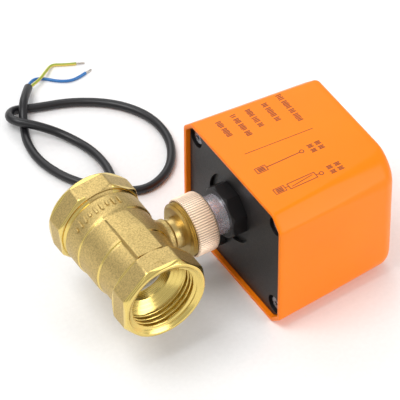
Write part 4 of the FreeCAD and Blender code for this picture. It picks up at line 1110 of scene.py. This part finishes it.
class VALVE_OT_cable(bpy.types.Operator):
    """Supply cable: black sheath in one loop, two insulated cores and bare ends"""

    bl_idname = "valve.cable"
    bl_label = "Cable"

    def execute(self, context):
        size = sizes()
        sheath = cord_curve("cable", SHEATH_ROUTE, size.cable, finish_named("sheath"))
        blue = cord_curve("blue_wire", BLUE_ROUTE, size.core, finish_named("blue"))
        earth = cord_curve("striped_wire", EARTH_ROUTE, size.core, finish_named("striped"))
        blue_end = cord_curve("blue_wire_strands", BLUE_STRANDS, size.strands,
                              finish_named("strands"))
        earth_end = cord_curve("striped_wire_strands", EARTH_STRANDS, size.strands,
                               finish_named("strands"))
        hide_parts("cable_sheath")
        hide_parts("core_blue")
        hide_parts("core_earth")
        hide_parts("strands_blue")
        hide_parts("strands_earth")
        return {"FINISHED"}


# ---------------------------------------------------------------------- stage

CAMERA_TURN = 31.605
CAMERA_RISE = 45.124
CAMERA_ROLL = -0.326
BALL_FROM_CAMERA = np.array([-31.103, 22.907, 1573.366])
CAMERA_LENS = 334.8
SENSOR = 36.0


def camera_axes():
    """Right, down and ahead of the camera as rows."""
    turn, rise, roll = (math.radians(a) for a in (CAMERA_TURN, CAMERA_RISE, CAMERA_ROLL))
    right = np.array([math.cos(turn), -math.sin(turn), 0.0])
    down = -np.array([math.sin(turn) * math.sin(rise), math.cos(turn) * math.sin(rise),
                      math.cos(rise)])
    ahead = np.array([math.sin(turn) * math.cos(rise), math.cos(turn) * math.cos(rise),
                      -math.sin(rise)])
    rolled_right = math.cos(roll) * right - math.sin(roll) * down
    rolled_down = math.sin(roll) * right + math.cos(roll) * down
    return np.array([rolled_right, rolled_down, ahead])


def add_area(name, place, target, power, width):
    """A square softbox at place, facing target; both in metres."""
    light = bpy.data.lights.new(name, "AREA")
    light.energy = power
    light.size = width
    item = bpy.data.objects.new(name, light)
    item.location = place
    item.rotation_euler = (Vector(target) - Vector(place)).to_track_quat("-Z", "Y").to_euler()
    bpy.context.scene.collection.objects.link(item)
    return item


class VALVE_OT_stage(bpy.types.Operator):
    """Pale floor, soft lights and the camera"""

    bl_idname = "valve.stage"
    bl_label = "Stage"

    def execute(self, context):
        axes = camera_axes()
        lens = bpy.data.cameras.new("camera")
        lens.lens = CAMERA_LENS
        lens.sensor_width = SENSOR
        lens.clip_start, lens.clip_end = 0.1, 20.0
        camera = bpy.data.objects.new("camera", lens)
        turn = Matrix(np.array([axes[0], -axes[1], -axes[2]]).T.tolist()).to_4x4()
        spot = BALL - axes.T @ BALL_FROM_CAMERA * MM
        camera.matrix_world = Matrix.Translation(Vector(spot)) @ turn
        context.scene.collection.objects.link(camera)
        context.scene.camera = camera
        floor_mesh = bpy.data.meshes.new("floor")
        reach = 3.0
        floor_mesh.from_pydata([(-reach, -reach, 0), (reach, -reach, 0), (reach, reach, 0),
                                (-reach, reach, 0)], [], [(0, 1, 2, 3)])
        floor = bpy.data.objects.new("floor", floor_mesh)
        floor_mesh.materials.append(matte_paper())
        context.scene.collection.objects.link(floor)
        centre = (0.0, 0.03, 0.03)
        add_area("key", (-0.45, 0.1, 1.0), centre, 6.0, 0.6)
        add_area("fill", (0.6, -0.9, 0.55), centre, 5.2, 0.7)
        add_area("back", (0.2, 0.9, 0.8), centre, 3.5, 0.8)
        world = bpy.data.worlds.new("studio")
        world.use_nodes = True
        world.node_tree.nodes["Background"].inputs["Color"].default_value = (1, 1, 1, 1)
        world.node_tree.nodes["Background"].inputs["Strength"].default_value = 0.58
        context.scene.world = world
        context.scene.view_settings.view_transform = "Standard"
        return {"FINISHED"}


# ---------------------------------------------------------------- registration

OPERATORS = [
    VALVE_OT_frame_finishes, VALVE_OT_cable, VALVE_OT_body, VALVE_OT_end_cap,
    VALVE_OT_cast_marks, VALVE_OT_coupling_nut, VALVE_OT_cover, VALVE_OT_print,
    VALVE_OT_gland, VALVE_OT_stage,
]


class VALVE_PT_panel(bpy.types.Panel):
    """Lists the valve's pieces, sizes and colours"""

    bl_idname = "VALVE_PT_panel"
    bl_label = "Motorised ball valve"
    bl_space_type = "VIEW_3D"
    bl_region_type = "UI"
    bl_category = "Valve"

    def draw(self, context):
        for group in (context.scene.valve_sizes, context.scene.valve_colours):
            for name in group.bl_rna.properties.keys():
                if name not in ("rna_type", "name"):
                    self.layout.prop(group, name)
        for operator in OPERATORS:
            self.layout.operator(operator.bl_idname)


CLASSES = [ValveSizes, ValveColours, *OPERATORS, VALVE_PT_panel]


def register():
    for made_class in CLASSES:
        bpy.utils.register_class(made_class)
    bpy.types.Scene.valve_sizes = PointerProperty(type=ValveSizes)
    bpy.types.Scene.valve_colours = PointerProperty(type=ValveColours)


def unregister():
    del bpy.types.Scene.valve_colours
    del bpy.types.Scene.valve_sizes
    for made_class in reversed(CLASSES):
        bpy.utils.unregister_class(made_class)


def main():
    register()
    for operator in OPERATORS:
        group, name = operator.bl_idname.split(".")
        getattr(getattr(bpy.ops, group), name)()


if __name__ == "__main__":
    main()
